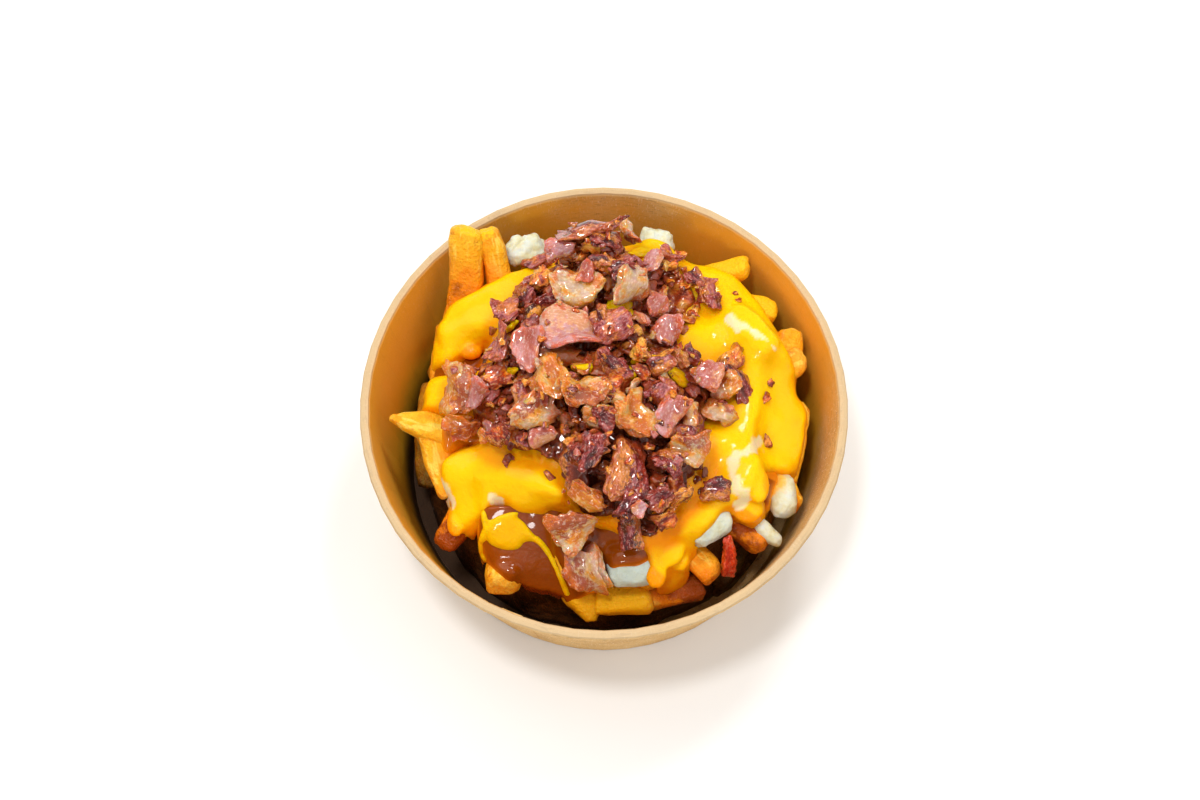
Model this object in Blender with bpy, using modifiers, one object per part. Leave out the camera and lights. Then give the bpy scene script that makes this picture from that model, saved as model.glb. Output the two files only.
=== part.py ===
"""Cheese and bacon poutine in a round kraft paper bowl.

A heap of thick fries with cheese curds, brown gravy, melted cheese sauce and a mound of chopped
bacon. The origin is the centre of the bowl's foot, +Z is up, and -Y is the side that faces the
person who eats it. Sizes below are in millimetres; MM turns them into Blender's metres.
"""

import math
import random

import bmesh
import bpy
from mathutils import Matrix, Vector, noise

MM = 0.001
TOUCH = 0.3          # gap between solids that lie against each other
LAYER_GAP = 0.5      # the same gap under a poured or strewn layer
SIDES = 52           # steps round the bowl and round the heap

# Bowl: one layer of board, its rim rolled outwards, its foot folded inwards
RIM_RADIUS = 75.0
BOWL_HEIGHT = 60.0
PAPER = 0.6
LIP_ROLL = 1.5
FOOT_RADIUS = 64.0   # inside the wall, carried down to the table
FOOT_FOLD = 5.4      # height of the doubled foot
BASE_Z = FOOT_FOLD + TOUCH
ROLL_CENTRE_R = RIM_RADIUS - LIP_ROLL
ROLL_CENTRE_Z = BOWL_HEIGHT - LIP_ROLL
WALL_TOP_RADIUS = ROLL_CENTRE_R - LIP_ROLL

# Heap of fries: a rounded hill whose edge is lower on the near side
HEAP_TOP = 68.0
HEAP_RADIUS = 61.0
EDGE_HEIGHT = 46.0
EDGE_TILT = 6.0
HILL_POWER = 2.6
HEAP_FLOOR = BASE_Z + PAPER + TOUCH
WALL_CLEARANCE = 1.0
# Where the heap stops short of the wall: direction in degrees, depth, spread in degrees
BAYS = [(222, 7.0, 22), (285, 3.0, 22), (40, 1.5, 20)]
# Fries that lie under the sauce and show as ridges: two ends, half width, height
RIDGES = [
    ((50, 22), (39, -24), 7.0, 3.0),
    ((-52, 24), (-18, 32), 7.0, 2.5),
    ((-40, -22), (-10, -31), 7.0, 2.5),
    ((10, -42), (33, -31), 7.0, 2.0),
    ((20, 44), (46, 31), 6.0, 2.0),
    ((-56, 6), (-42, 2), 6.0, 1.5),
]
TOP_RINGS = 9
FLANK_RINGS = 3
RINGS = TOP_RINGS + FLANK_RINGS + 4
# The heap's flank leans outwards down to its foot, and below that the heap fills the bowl
FLANK_FOOT = 27.0
FLANK_LEAN = 3.0
WALL_RING_HEIGHTS = (19.0, 9.0)
FLOOR_ROUNDING = 3.0

SAUCE = 3.0
GRAVY = 2.0
SWIRL = 1.4
LAYER_FLOOR = 37.0     # no sauce runs lower down the heap's flank
LAYER_CEILING = 110.0
OUTLINE_STEPS = 2

# Edge of the cheese sauce seen from above, round by the far side first
SAUCE_EDGE = [
    (-53, 21), (-55, 30), (-50, 37), (-42, 39), (-35, 44), (-26, 48), (-16, 52), (-5, 56),
    (10, 57), (25, 53), (38, 46), (48, 37), (56, 26), (60, 14), (62.5, 2), (62, -11),
    (55, -17), (49, -21), (46, -27), (49, -33), (46, -38), (41, -34), (36, -34), (33, -40),
    (27, -44), (25, -51), (20, -56), (15, -53), (12, -46), (2, -41), (-9, -37), (-18, -35),
    (-25, -36), (-31, -31), (-36, -34), (-42, -39), (-47, -37), (-46, -31), (-50, -24),
    (-50, -18), (-44, -15), (-36, -13), (-37, -6), (-46, -4), (-56, -2), (-60, 5), (-58, 12),
    (-50, 11), (-41, 13), (-36, 17), (-38, 22), (-45, 22),
]
GRAVY_EDGES = {
    "gravy_pool": [
        (-38, -38), (-34, -32), (-25, -33), (-10, -34), (2, -36), (13, -43), (12, -49),
        (4, -50), (-2, -51), (-9, -55), (-18, -54), (-27, -51), (-34, -46),
    ],
    "gravy_left": [(-52, -7), (-45, -3), (-36, -5), (-35, -13), (-43, -16), (-51, -17), (-54, -11)],
    "gravy_upper": [(-54, 17), (-48, 23), (-40, 23), (-36, 18), (-41, 12), (-51, 11)],
}
SWIRL_EDGE = [(-36, -41), (-32, -38), (-26, -40), (-21, -43), (-15, -50), (-22, -46), (-28, -44),
              (-33, -49), (-36, -46)]
BACON_EDGE = [
    (-16, 52), (-8, 57), (4, 57.5), (15, 54), (29, 46), (36, 36), (32, 26), (27, 16), (36, 14),
    (43, 5), (39, -6), (33, -15), (33, -24), (30, -33), (22, -40), (13, -45), (5, -44),
    (-9, -44), (-14, -36), (-18, -26), (-28, -24), (-37, -19), (-45, -10), (-49, 0),
    (-47, 8), (-38, 14), (-36, 25), (-29, 35), (-22, 41),
]
BACON_CENTRE = (-2.0, 6.0)
BACON_DOME = 7.0
BACON_DOME_REACH = 62.0
BACON_EDGE_THICKNESS = 2.0
BACON_ROOM = 6.0         # height over the dome that the fused pieces need

# Curds: centre x, y, half sizes along, across and up, turn in degrees, height of the centre
# over the bare heap
CURDS = [
    (-25.5, 53.0, 7.0, 5.5, 5.0, 20, 2.0),
    (17.0, 56.5, 6.0, 5.0, 4.5, -15, 2.0),
    (46.0, 21.0, 10.5, 6.0, 5.0, -50, 1.5),
    (55.0, -27.0, 4.5, 7.0, 5.0, 5, 3.0),
    (49.5, -38.5, 6.0, 2.6, 2.5, -45, 4.0),
    (8.5, -49.5, 8.5, 7.5, 5.0, 6, 1.0),
    (31.5, -38.0, 7.5, 6.0, 4.5, 30, 0.5),
    (42.5, -25.0, 5.0, 8.0, 4.5, -20, 1.0),
]
CURD_SEED = 11
COVERED_CURDS = (2, 5, 6, 7)   # those that the sauce or gravy runs over
COVER = 2.0                    # how high it stands over them
COVER_REACH = 7.0              # how far round a covered curd it is lifted

# Fries that can be told apart: foot and tip as x, y, z, and width
FRIES = [
    ((-47, 30, 46), (-42, 53, 74), 9.0),
    ((-33, 38, 50), (-38, 54, 70), 8.0),
    ((-40, -12, 50), (-66, -4, 57), 8.0),
    ((-47, -4, 47), (-50, -26, 50), 8.5),
    ((-38, -22, 48), (-52, -45, 38), 9.0),
    ((-24, -44, 38), (-36, -54, 36), 9.5),
    ((-12, -50, 34), (-2, -61, 31), 9.0),
    ((4, -50, 33), (14, -61, 35), 9.0),
    ((14, -48, 34), (27, -59, 29), 8.5),
    ((24, -40, 40), (38, -55, 42), 9.0),
    ((36, -32, 44), (50, -42, 44), 9.0),
    ((44, -14, 46), (60, -30, 42), 8.5),
    ((48, 8, 46), (63, 17, 54), 9.5),
    ((54, 4, 40), (60, 28, 50), 8.5),
    ((22, 44, 48), (47, 49, 54), 7.5),
    ((36, 38, 47), (56, 34, 49), 8.0),
    ((-50, 12, 46), (-62, 20, 48), 8.0),
    ((-20, 46, 46), (4, 60, 50), 8.0),
]
FILL_FRIES = 10
FILL_FRY_SEED = 5
FRY_CUTS = 2

# Chopped bacon
BIT_SEED = 23
BITS = 36
BIT_SPACING = 7.5
BIT_LENGTH, BIT_WIDTH, BIT_THICKNESS = (8, 13), (6, 9), (4, 6.5)
BIT_TILT = 0.45
BIT_TRIES = 4000
BACON_ACROSS, BACON_BACKWARDS = (-50, 45), (-46, 58)   # where places for the bits are tried
BACON_LUMPS = 2.5
LUMP_SIZE = 9.0
LOOSE_CLEARANCE = 13.0   # between a fused piece and one that lies apart
LOOSE_BACON = {
    # name: centre x, y, height of its middle over the heap, (length, width, thickness), turn
    "bacon_front_piece": (-5.0, -51.5, 5.5, (15, 10, 5.0), 65),
    "bacon_dark_piece": (38.5, -30.5, 7.0, (9.5, 6, 4.5), 10),
    "bacon_red_strip": (37.5, -46.5, 5.5, (12, 4.5, 4.0), 78),
}


def around(direction, at, spread):
    """1 in the direction `at`, falling to 0 over `spread` degrees to both sides."""
    away = (math.degrees(direction) - at + 180) % 360 - 180
    return math.exp(-((away / spread) ** 2))


def wall_inside(z):
    """Inner radius of the bowl's wall at height z."""
    return FOOT_RADIUS + (WALL_TOP_RADIUS - FOOT_RADIUS) * z / ROLL_CENTRE_Z


def heap_radius(direction):
    return HEAP_RADIUS - sum(depth * around(direction, at, spread) for at, depth, spread in BAYS)


def edge_height(direction):
    return EDGE_HEIGHT + EDGE_TILT * math.sin(direction)


def ridge_height(x, y):
    """How far a fry that lies under the sauce lifts the heap's surface."""
    highest = 0.0
    for (ax, ay), (bx, by), half_width, height in RIDGES:
        run_x, run_y = bx - ax, by - ay
        along = ((x - ax) * run_x + (y - ay) * run_y) / (run_x ** 2 + run_y ** 2)
        along = min(max(along, 0.0), 1.0)
        off = math.hypot(x - ax - along * run_x, y - ay - along * run_y) / half_width
        if off < 1:
            highest = max(highest, height * (1 - off * off) ** 2)
    return highest


def heap_height(x, y):
    """Height of the bare heap's top inside its edge."""
    direction = math.atan2(y, x)
    edge = edge_height(direction)
    outwards = min(math.hypot(x, y) / heap_radius(direction), 1.0)
    return edge + (HEAP_TOP - edge) * (1 - outwards ** HILL_POWER) + ridge_height(x, y)


def mound_height(x, y, mounds):
    """How far the smooth mounds (x, y, reach, height) lift a layer at a place."""
    lifted = 0.0
    for at_x, at_y, reach, height in mounds:
        off = math.hypot(x - at_x, y - at_y) / reach
        if off < 1:
            lifted = max(lifted, height * (1 - off * off) ** 2)
    return lifted


def material(name, colour, roughness):
    made = bpy.data.materials.get(name)
    if made is None:
        made = bpy.data.materials.new(name)
        made.use_nodes = True
        shader = made.node_tree.nodes["Principled BSDF"]
        shader.inputs["Base Color"].default_value = (*colour, 1)
        shader.inputs["Roughness"].default_value = roughness
        made.diffuse_color = (*colour, 1)
    return made


KRAFT = ("kraft_board", (0.55, 0.34, 0.15), 0.6)
POTATO = ("fried_potato", (0.85, 0.48, 0.10), 0.55)
CHEESE = ("cheese_sauce", (0.95, 0.55, 0.01), 0.3)
BROWN_GRAVY = ("brown_gravy", (0.35, 0.13, 0.02), 0.2)
CURD = ("cheese_curd", (0.90, 0.86, 0.62), 0.45)
BACON = ("bacon", (0.35, 0.09, 0.06), 0.45)


def add_object(name, mesh, look, collection):
    made = bpy.data.objects.new(name, mesh)
    if look is not None:
        mesh.materials.clear()
        mesh.materials.append(material(*look))
    collection.objects.link(made)
    return made


def mesh_from(bm, name):
    mesh = bpy.data.meshes.new(name)
    bmesh.ops.recalc_face_normals(bm, faces=bm.faces)
    bm.to_mesh(mesh)
    bm.free()
    return mesh


def remove(made):
    mesh = made.data
    bpy.data.objects.remove(made)
    if mesh.users == 0:
        bpy.data.meshes.remove(mesh)


def apply_modifiers(made):
    graph = bpy.context.evaluated_depsgraph_get()
    before = made.data
    made.data = bpy.data.meshes.new_from_object(made.evaluated_get(graph))
    made.modifiers.clear()
    bpy.data.meshes.remove(before)


def combine(made, operation, other):
    """Apply a Boolean with another object or with every object of a collection."""
    modifier = made.modifiers.new(operation, "BOOLEAN")
    modifier.operation = operation
    modifier.solver = "EXACT"
    if isinstance(other, bpy.types.Collection):
        modifier.operand_type = "COLLECTION"
        modifier.collection = other
    else:
        modifier.object = other
    apply_modifiers(made)


def keep_largest(made):
    """Drop loose scraps and the inner skins of sealed hollows."""
    bm = bmesh.new()
    bm.from_mesh(made.data)
    waiting = set(bm.faces)
    islands = []
    while waiting:
        island = [waiting.pop()]
        for face in island:
            for edge in face.edges:
                for neighbour in edge.link_faces:
                    if neighbour in waiting:
                        waiting.remove(neighbour)
                        island.append(neighbour)
        islands.append(island)
    islands.sort(key=lambda island: -sum(face.calc_area() for face in island))
    scraps = [face for island in islands[1:] for face in island]
    bmesh.ops.delete(bm, geom=scraps, context="FACES")
    bm.to_mesh(made.data)
    bm.free()


def simplify(made, flat_angle=0.5):
    """Merge the tiny facets that Booleans leave."""
    bm = bmesh.new()
    bm.from_mesh(made.data)
    bmesh.ops.remove_doubles(bm, verts=bm.verts, dist=0.02 * MM)
    bmesh.ops.dissolve_limit(bm, angle_limit=math.radians(flat_angle), verts=bm.verts, edges=bm.edges)
    bmesh.ops.triangulate(bm, faces=bm.faces)
    bm.to_mesh(made.data)
    bm.free()


def shade(made, angle=40):
    made.data.shade_smooth()
    made.data.set_sharp_from_angle(angle=math.radians(angle))


def build_bowl(collection):
    """The wall with its rolled rim and folded foot, turned from one closed profile."""
    roll_end = math.acos((ROLL_CENTRE_R - WALL_TOP_RADIUS - PAPER) / LIP_ROLL)
    roll_angles = [math.radians(angle) for angle in range(180, -91, -45)] + [roll_end - math.pi]
    profile = [
        (ROLL_CENTRE_R + LIP_ROLL * math.cos(angle), ROLL_CENTRE_Z + LIP_ROLL * math.sin(angle))
        for angle in roll_angles
    ]
    profile.append((FOOT_RADIUS + PAPER, 0.0))
    profile.append((FOOT_RADIUS - PAPER, 0.0))
    profile.append((wall_inside(FOOT_FOLD) - PAPER, FOOT_FOLD))
    profile.append((wall_inside(FOOT_FOLD), FOOT_FOLD))
    bm = bmesh.new()
    points = [bm.verts.new((r * MM, 0, z * MM)) for r, z in profile]
    for first, second in zip(points, points[1:] + points[:1]):
        bm.edges.new((first, second))
    mesh = bpy.data.meshes.new("bowl")
    bm.to_mesh(mesh)
    bm.free()
    bowl = add_object("bowl", mesh, KRAFT, collection)
    screw = bowl.modifiers.new("Turn", "SCREW")
    screw.steps = screw.render_steps = SIDES
    screw.use_merge_vertices = True
    screw.merge_threshold = 0.00001
    screw.use_smooth_shade = True
    screw.use_normal_calculate = True

    bpy.ops.mesh.primitive_cylinder_add(
        vertices=SIDES,
        radius=(wall_inside(BASE_Z) - TOUCH) * MM,
        depth=PAPER * MM,
        location=(0, 0, (BASE_Z + PAPER / 2) * MM),
    )
    base = bpy.context.object
    base.name = "bowl_base"
    base.data.name = "bowl_base"
    base.data.materials.append(material(*KRAFT))
    for user in list(base.users_collection):
        user.objects.unlink(base)
    collection.objects.link(base)


def heap_body(name, collection, lift=0.0, mounds=(), look=None, lumps=0.0):
    """The bare heap, or a copy of it grown by `lift`, raised by mounds and made lumpy.

    A sphere is reshaped ring by ring: the upper rings take the hill's height, the next ones drop
    steeply from its edge, and the last ones follow the bowl's wall down to its base.
    """
    bm = bmesh.new()
    bmesh.ops.create_uvsphere(bm, u_segments=SIDES, v_segments=RINGS, radius=1)
    edge_ring = TOP_RINGS
    wall_ring = TOP_RINGS + FLANK_RINGS + 1
    for vert in bm.verts:
        ring = round(math.acos(max(-1, min(1, vert.co.z))) / math.pi * RINGS)
        direction = math.atan2(vert.co.y, vert.co.x)
        edge_r, edge_z = heap_radius(direction), edge_height(direction)
        if ring <= edge_ring:
            r = edge_r * ring / edge_ring
            x, y = r * math.cos(direction), r * math.sin(direction)
            z = heap_height(x, y) + mound_height(x, y, mounds)
            z += lumps * noise.noise(Vector((x, y, 0)) / LUMP_SIZE)
        elif ring < wall_ring:
            down = (ring - edge_ring) / FLANK_RINGS
            r, z = edge_r + FLANK_LEAN * down, edge_z + (FLANK_FOOT - edge_z) * down
        else:
            below_flank = ring - wall_ring
            on_wall = below_flank < len(WALL_RING_HEIGHTS)
            z = WALL_RING_HEIGHTS[below_flank] if on_wall else HEAP_FLOOR
            r = wall_inside(z) - WALL_CLEARANCE
            if ring == RINGS - 1:
                r -= FLOOR_ROUNDING
            if ring == RINGS:
                r = 0
        vert.co = Vector((r * math.cos(direction), r * math.sin(direction), z)) * MM
    bmesh.ops.triangulate(bm, faces=bm.faces, quad_method="FIXED")
    if lift:
        bm.normal_update()
        grown = [vert.co + vert.normal * lift * MM for vert in bm.verts]
        for vert, place in zip(bm.verts, grown):
            vert.co = place
    return add_object(name, mesh_from(bm, name), look, collection)


def prism(name, outline, collection, grow=0.0):
    """A block from the lowest drip upwards, whose plan is the smooth curve through the outline."""
    curve = bpy.data.curves.new(name, "CURVE")
    curve.dimensions = "2D"
    curve.fill_mode = "BOTH"
    curve.extrude = (LAYER_CEILING - LAYER_FLOOR) / 2 * MM
    curve.offset = grow * MM
    curve.resolution_u = OUTLINE_STEPS
    curve.render_resolution_u = 0
    spline = curve.splines.new("BEZIER")
    spline.bezier_points.add(len(outline) - 1)
    for point, (x, y) in zip(spline.bezier_points, outline):
        point.co = (x * MM, y * MM, 0)
        point.handle_left_type = point.handle_right_type = "AUTO"
    spline.use_cyclic_u = True
    drawn = bpy.data.objects.new(name, curve)
    collection.objects.link(drawn)
    drawn.location.z = (LAYER_CEILING + LAYER_FLOOR) / 2 * MM
    graph = bpy.context.evaluated_depsgraph_get()
    mesh = bpy.data.meshes.new_from_object(drawn.evaluated_get(graph))
    mesh.transform(drawn.matrix_world)
    bm = bmesh.new()
    bm.from_mesh(mesh)
    bmesh.ops.remove_doubles(bm, verts=bm.verts, dist=0.01 * MM)
    bmesh.ops.recalc_face_normals(bm, faces=bm.faces)
    bm.to_mesh(mesh)
    bm.free()
    bpy.data.objects.remove(drawn)
    bpy.data.curves.remove(curve)
    return add_object(name, mesh, None, collection)


def layer(name, outline, below, thickness, look, parts, guides, mounds=(), holes=()):
    """A poured layer: the plan's block between two grown copies of the heap, less what it meets."""
    made = prism(name, outline, parts)
    top = heap_body(name + "_top", guides, below + thickness, mounds)
    bottom = heap_body(name + "_bottom", guides, below)
    combine(made, "INTERSECT", top)
    combine(made, "DIFFERENCE", bottom)
    for hole in holes:
        combine(made, "DIFFERENCE", hole)
    keep_largest(made)
    simplify(made)
    remove(top)
    remove(bottom)
    made.data.materials.clear()
    made.data.materials.append(material(*look))
    shade(made)
    return made


def build_curds(parts, guides, ground):
    """Lumpy curds, flattened where they lie on the fries; returns a grown copy of each."""
    grown = []
    draw = random.Random(CURD_SEED)
    for index, (x, y, along, across, up, turn, over) in enumerate(CURDS):
        centre = Vector((x, y, heap_height(x, y) + over))
        turned = Matrix.Rotation(math.radians(turn), 4, "Z")
        shift = Vector([draw.uniform(0, 50) for _ in range(3)])
        for name, extra, collection in ((f"curd_{index + 1}", 0.0, parts), ("curd_grown", TOUCH, guides)):
            bm = bmesh.new()
            bmesh.ops.create_icosphere(bm, subdivisions=2, radius=1)
            for vert in bm.verts:
                lump = 1 + 0.16 * noise.noise(vert.co * 1.7 + shift)
                square = max(abs(vert.co.x), abs(vert.co.y), abs(vert.co.z)) ** -0.45
                size = Vector((along + extra, across + extra, up + extra))
                vert.co = Vector(a * b for a, b in zip(vert.co * lump * square, size))
            bmesh.ops.transform(bm, matrix=turned, verts=bm.verts)
            bmesh.ops.translate(bm, vec=centre, verts=bm.verts)
            bmesh.ops.scale(bm, vec=(MM, MM, MM), verts=bm.verts)
            look = CURD if collection is parts else None
            made = add_object(name, mesh_from(bm, name), look, collection)
            if collection is parts:
                for cutter in [ground, *grown]:
                    combine(made, "DIFFERENCE", cutter)
                keep_largest(made)
                simplify(made)
                shade(made)
            else:
                grown.append(made)
    return grown


def fry_mesh(name, foot, tip, width, draw):
    """A fry: a bar with its long edges broken, slightly bent, uneven and narrower at its ends."""
    foot, tip = Vector(foot), Vector(tip)
    length = (tip - foot).length
    bm = bmesh.new()
    bmesh.ops.create_cube(bm, size=1)
    long_edges = [e for e in bm.edges if abs(e.verts[0].co.x - e.verts[1].co.x) > 0.5]
    bmesh.ops.scale(bm, vec=(length, width, width * draw.uniform(0.8, 0.95)), verts=bm.verts)
    bmesh.ops.bevel(bm, geom=long_edges, offset=0.22 * width, segments=1, affect="EDGES")
    long_edges = [e for e in bm.edges if abs(e.verts[0].co.x - e.verts[1].co.x) > length / 2]
    bmesh.ops.subdivide_edges(bm, edges=long_edges, cuts=FRY_CUTS)
    bend = draw.uniform(-0.05, 0.05) * length
    twist = draw.uniform(-0.25, 0.25)
    for vert in bm.verts:
        t = 2 * vert.co.x / length
        narrow = 1 - 0.18 * abs(t) ** 3
        vert.co.y *= narrow
        vert.co.z = vert.co.z * narrow + bend * (1 - t * t)
        vert.co = Matrix.Rotation(twist * t, 3, "X") @ vert.co
        vert.co += Vector([draw.uniform(-0.35, 0.35) for _ in range(3)])
    direction = (tip - foot).normalized()
    turn = direction.to_track_quat("X", "Z").to_matrix().to_4x4()
    bmesh.ops.transform(bm, matrix=turn, verts=bm.verts)
    bmesh.ops.translate(bm, vec=(foot + tip) / 2, verts=bm.verts)
    bmesh.ops.scale(bm, vec=(MM, MM, MM), verts=bm.verts)
    bmesh.ops.triangulate(bm, faces=bm.faces)
    return mesh_from(bm, name)


def fill_fries(draw):
    """Fries that fill the space between the heap and the wall, spread evenly round the bowl."""
    found = []
    for index in range(FILL_FRIES):
        direction = 2 * math.pi * (index + draw.uniform(-0.3, 0.3)) / FILL_FRIES
        width = draw.uniform(7.5, 9.0)
        half = draw.uniform(13, 20)
        low, high = 28 + draw.uniform(0, 4), edge_height(direction) - 4 - draw.uniform(0, 3)
        reach = wall_inside(low) - width
        middle = math.sqrt(reach ** 2 - half ** 2)
        outwards = Vector((math.cos(direction), math.sin(direction), 0))
        sideways = Vector((-outwards.y, outwards.x, 0)) * draw.choice((-1, 1))
        foot = outwards * middle - sideways * half + Vector((0, 0, low))
        tip = outwards * middle + sideways * half + Vector((0, 0, high))
        found.append((foot, tip, width))
    return found


def build_fries(parts, guides, kept_clear):
    """The heap and the fries that show, joined into one solid.

    A fry that would cross sauce, gravy, curds or bacon is cut short where their room begins.
    """
    heap = heap_body("fries_heap", parts, look=POTATO)
    draw = random.Random(FILL_FRY_SEED)
    loose = bpy.data.collections.new("loose_fries")
    bpy.context.scene.collection.children.link(loose)
    for index, (foot, tip, width) in enumerate(FRIES + fill_fries(draw)):
        name = f"fry_{index}"
        fry = add_object(name, fry_mesh(name, foot, tip, width, draw), POTATO, loose)
        combine(fry, "DIFFERENCE", kept_clear)
        if not fry.data.polygons:
            remove(fry)
    room = bowl_room("room_of_bowl", guides)
    combine(heap, "UNION", loose)
    combine(heap, "INTERSECT", room)
    keep_largest(heap)
    simplify(heap)
    shade(heap)
    for fry in list(loose.objects):
        remove(fry)
    bpy.data.collections.remove(loose)
    return heap


def bowl_room(name, guides):
    """The room inside the bowl's wall, carried on upwards."""
    low, high = HEAP_FLOOR - 0.5, 100.0
    bm = bmesh.new()
    bmesh.ops.create_cone(
        bm,
        cap_ends=True,
        segments=SIDES,
        radius1=(wall_inside(low) - TOUCH) * MM,
        radius2=(wall_inside(high) - TOUCH) * MM,
        depth=(high - low) * MM,
    )
    bmesh.ops.translate(bm, vec=(0, 0, (high + low) / 2 * MM), verts=bm.verts)
    return add_object(name, mesh_from(bm, name), None, guides)


def bit_mesh(name, centre, normal, size, turn, draw):
    """A chopped piece of bacon: a flat block with cut corners, uneven all round."""
    length, width, thickness = size
    bm = bmesh.new()
    bmesh.ops.create_cube(bm, size=1)
    bmesh.ops.scale(bm, vec=(length, width, thickness), verts=bm.verts)
    upright = [e for e in bm.edges if abs(e.verts[0].co.z - e.verts[1].co.z) > thickness / 2]
    corners = draw.sample(upright, 1)
    bmesh.ops.bevel(bm, geom=corners, offset=0.3 * width, segments=1, affect="EDGES")
    for vert in bm.verts:
        vert.co += Vector([draw.uniform(-0.12, 0.12) * size for size in (length, width, thickness)])
        vert.co.z += 0.12 * thickness * math.sin(3 * vert.co.x / length)
    lean = normal.to_track_quat("Z", "Y").to_matrix().to_4x4()
    spin = Matrix.Rotation(math.radians(turn), 4, "Z")
    bmesh.ops.transform(bm, matrix=lean @ spin, verts=bm.verts)
    bmesh.ops.translate(bm, vec=centre, verts=bm.verts)
    bmesh.ops.scale(bm, vec=(MM, MM, MM), verts=bm.verts)
    bmesh.ops.triangulate(bm, faces=bm.faces)
    return mesh_from(bm, name)


def inside(x, y, outline):
    """Whether a place lies within a closed outline."""
    found = False
    for (ax, ay), (bx, by) in zip(outline, outline[1:] + outline[:1]):
        if (ay > y) != (by > y) and x < ax + (bx - ax) * (y - ay) / (by - ay):
            found = not found
    return found


def surface(x, y, mounds):
    """Height and normal of the heap with its mounds."""
    step = 1.0

    def height(px, py):
        return heap_height(px, py) + mound_height(px, py, mounds)

    slope_x = (height(x + step, y) - height(x - step, y)) / (2 * step)
    slope_y = (height(x, y + step) - height(x, y - step)) / (2 * step)
    return height(x, y), Vector((-slope_x, -slope_y, 1)).normalized()


def bacon_places(draw):
    """Evenly spread places within the bacon's plan."""
    found = []
    for _ in range(BIT_TRIES):
        if len(found) == BITS:
            break
        x, y = draw.uniform(*BACON_ACROSS), draw.uniform(*BACON_BACKWARDS)
        if not inside(x, y, BACON_EDGE):
            continue
        if any(math.hypot(x - ox, y - oy) < BIT_SPACING for ox, oy in found):
            continue
        if any(math.hypot(x - piece[0], y - piece[1]) < LOOSE_CLEARANCE for piece in LOOSE_BACON.values()):
            continue
        found.append((x, y))
    return found


def build_bacon(parts, guides, mounds, curds):
    """The mound of chopped bacon with its larger pieces fused on, and the pieces that lie apart."""
    below = 2 * LAYER_GAP + SAUCE
    over = [*mounds, (*BACON_CENTRE, BACON_DOME_REACH, BACON_DOME)]
    heap = prism("bacon_heap", BACON_EDGE, parts)
    top = heap_body("bacon_top", guides, below + BACON_EDGE_THICKNESS, over, lumps=BACON_LUMPS)
    combine(heap, "INTERSECT", top)
    draw = random.Random(BIT_SEED)
    loose = bpy.data.collections.new("loose_bacon")
    bpy.context.scene.collection.children.link(loose)
    for index, (x, y) in enumerate(bacon_places(draw)):
        height, normal = surface(x, y, over)
        normal += Vector([draw.uniform(-BIT_TILT, BIT_TILT) for _ in range(3)])
        up = below + BACON_EDGE_THICKNESS + draw.uniform(-0.5, 1.0)
        size = [draw.uniform(*limits) for limits in (BIT_LENGTH, BIT_WIDTH, BIT_THICKNESS)]
        name = f"bit_{index}"
        centre, turn = Vector((x, y, height + up)), draw.uniform(0, 360)
        mesh = bit_mesh(name, centre, normal.normalized(), size, turn, draw)
        add_object(name, mesh, BACON, loose)
    combine(heap, "UNION", loose)
    ground = heap_body("bacon_ground", guides, below, mounds)
    finish_bacon(heap, ground, curds)
    for bit in list(loose.objects):
        remove(bit)
    bpy.data.collections.remove(loose)

    for name in LOOSE_BACON:
        piece = add_object(name, loose_bacon_mesh(name, mounds), BACON, parts)
        finish_bacon(piece, ground, curds)


def loose_bacon_mesh(name, mounds, extra=0.0):
    x, y, up, size, turn = LOOSE_BACON[name]
    height, normal = surface(x, y, mounds)
    size = [side + 2 * extra for side in size]
    draw = random.Random(BIT_SEED + len(name))
    return bit_mesh(name, Vector((x, y, height + up)), normal, size, turn, draw)


def finish_bacon(made, ground, curds):
    """Cut the underside to what it lies on."""
    for cutter in [ground, *curds]:
        combine(made, "DIFFERENCE", cutter)
    keep_largest(made)
    simplify(made)
    made.data.materials.clear()
    made.data.materials.append(material(*BACON))
    shade(made, 25)


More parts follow.
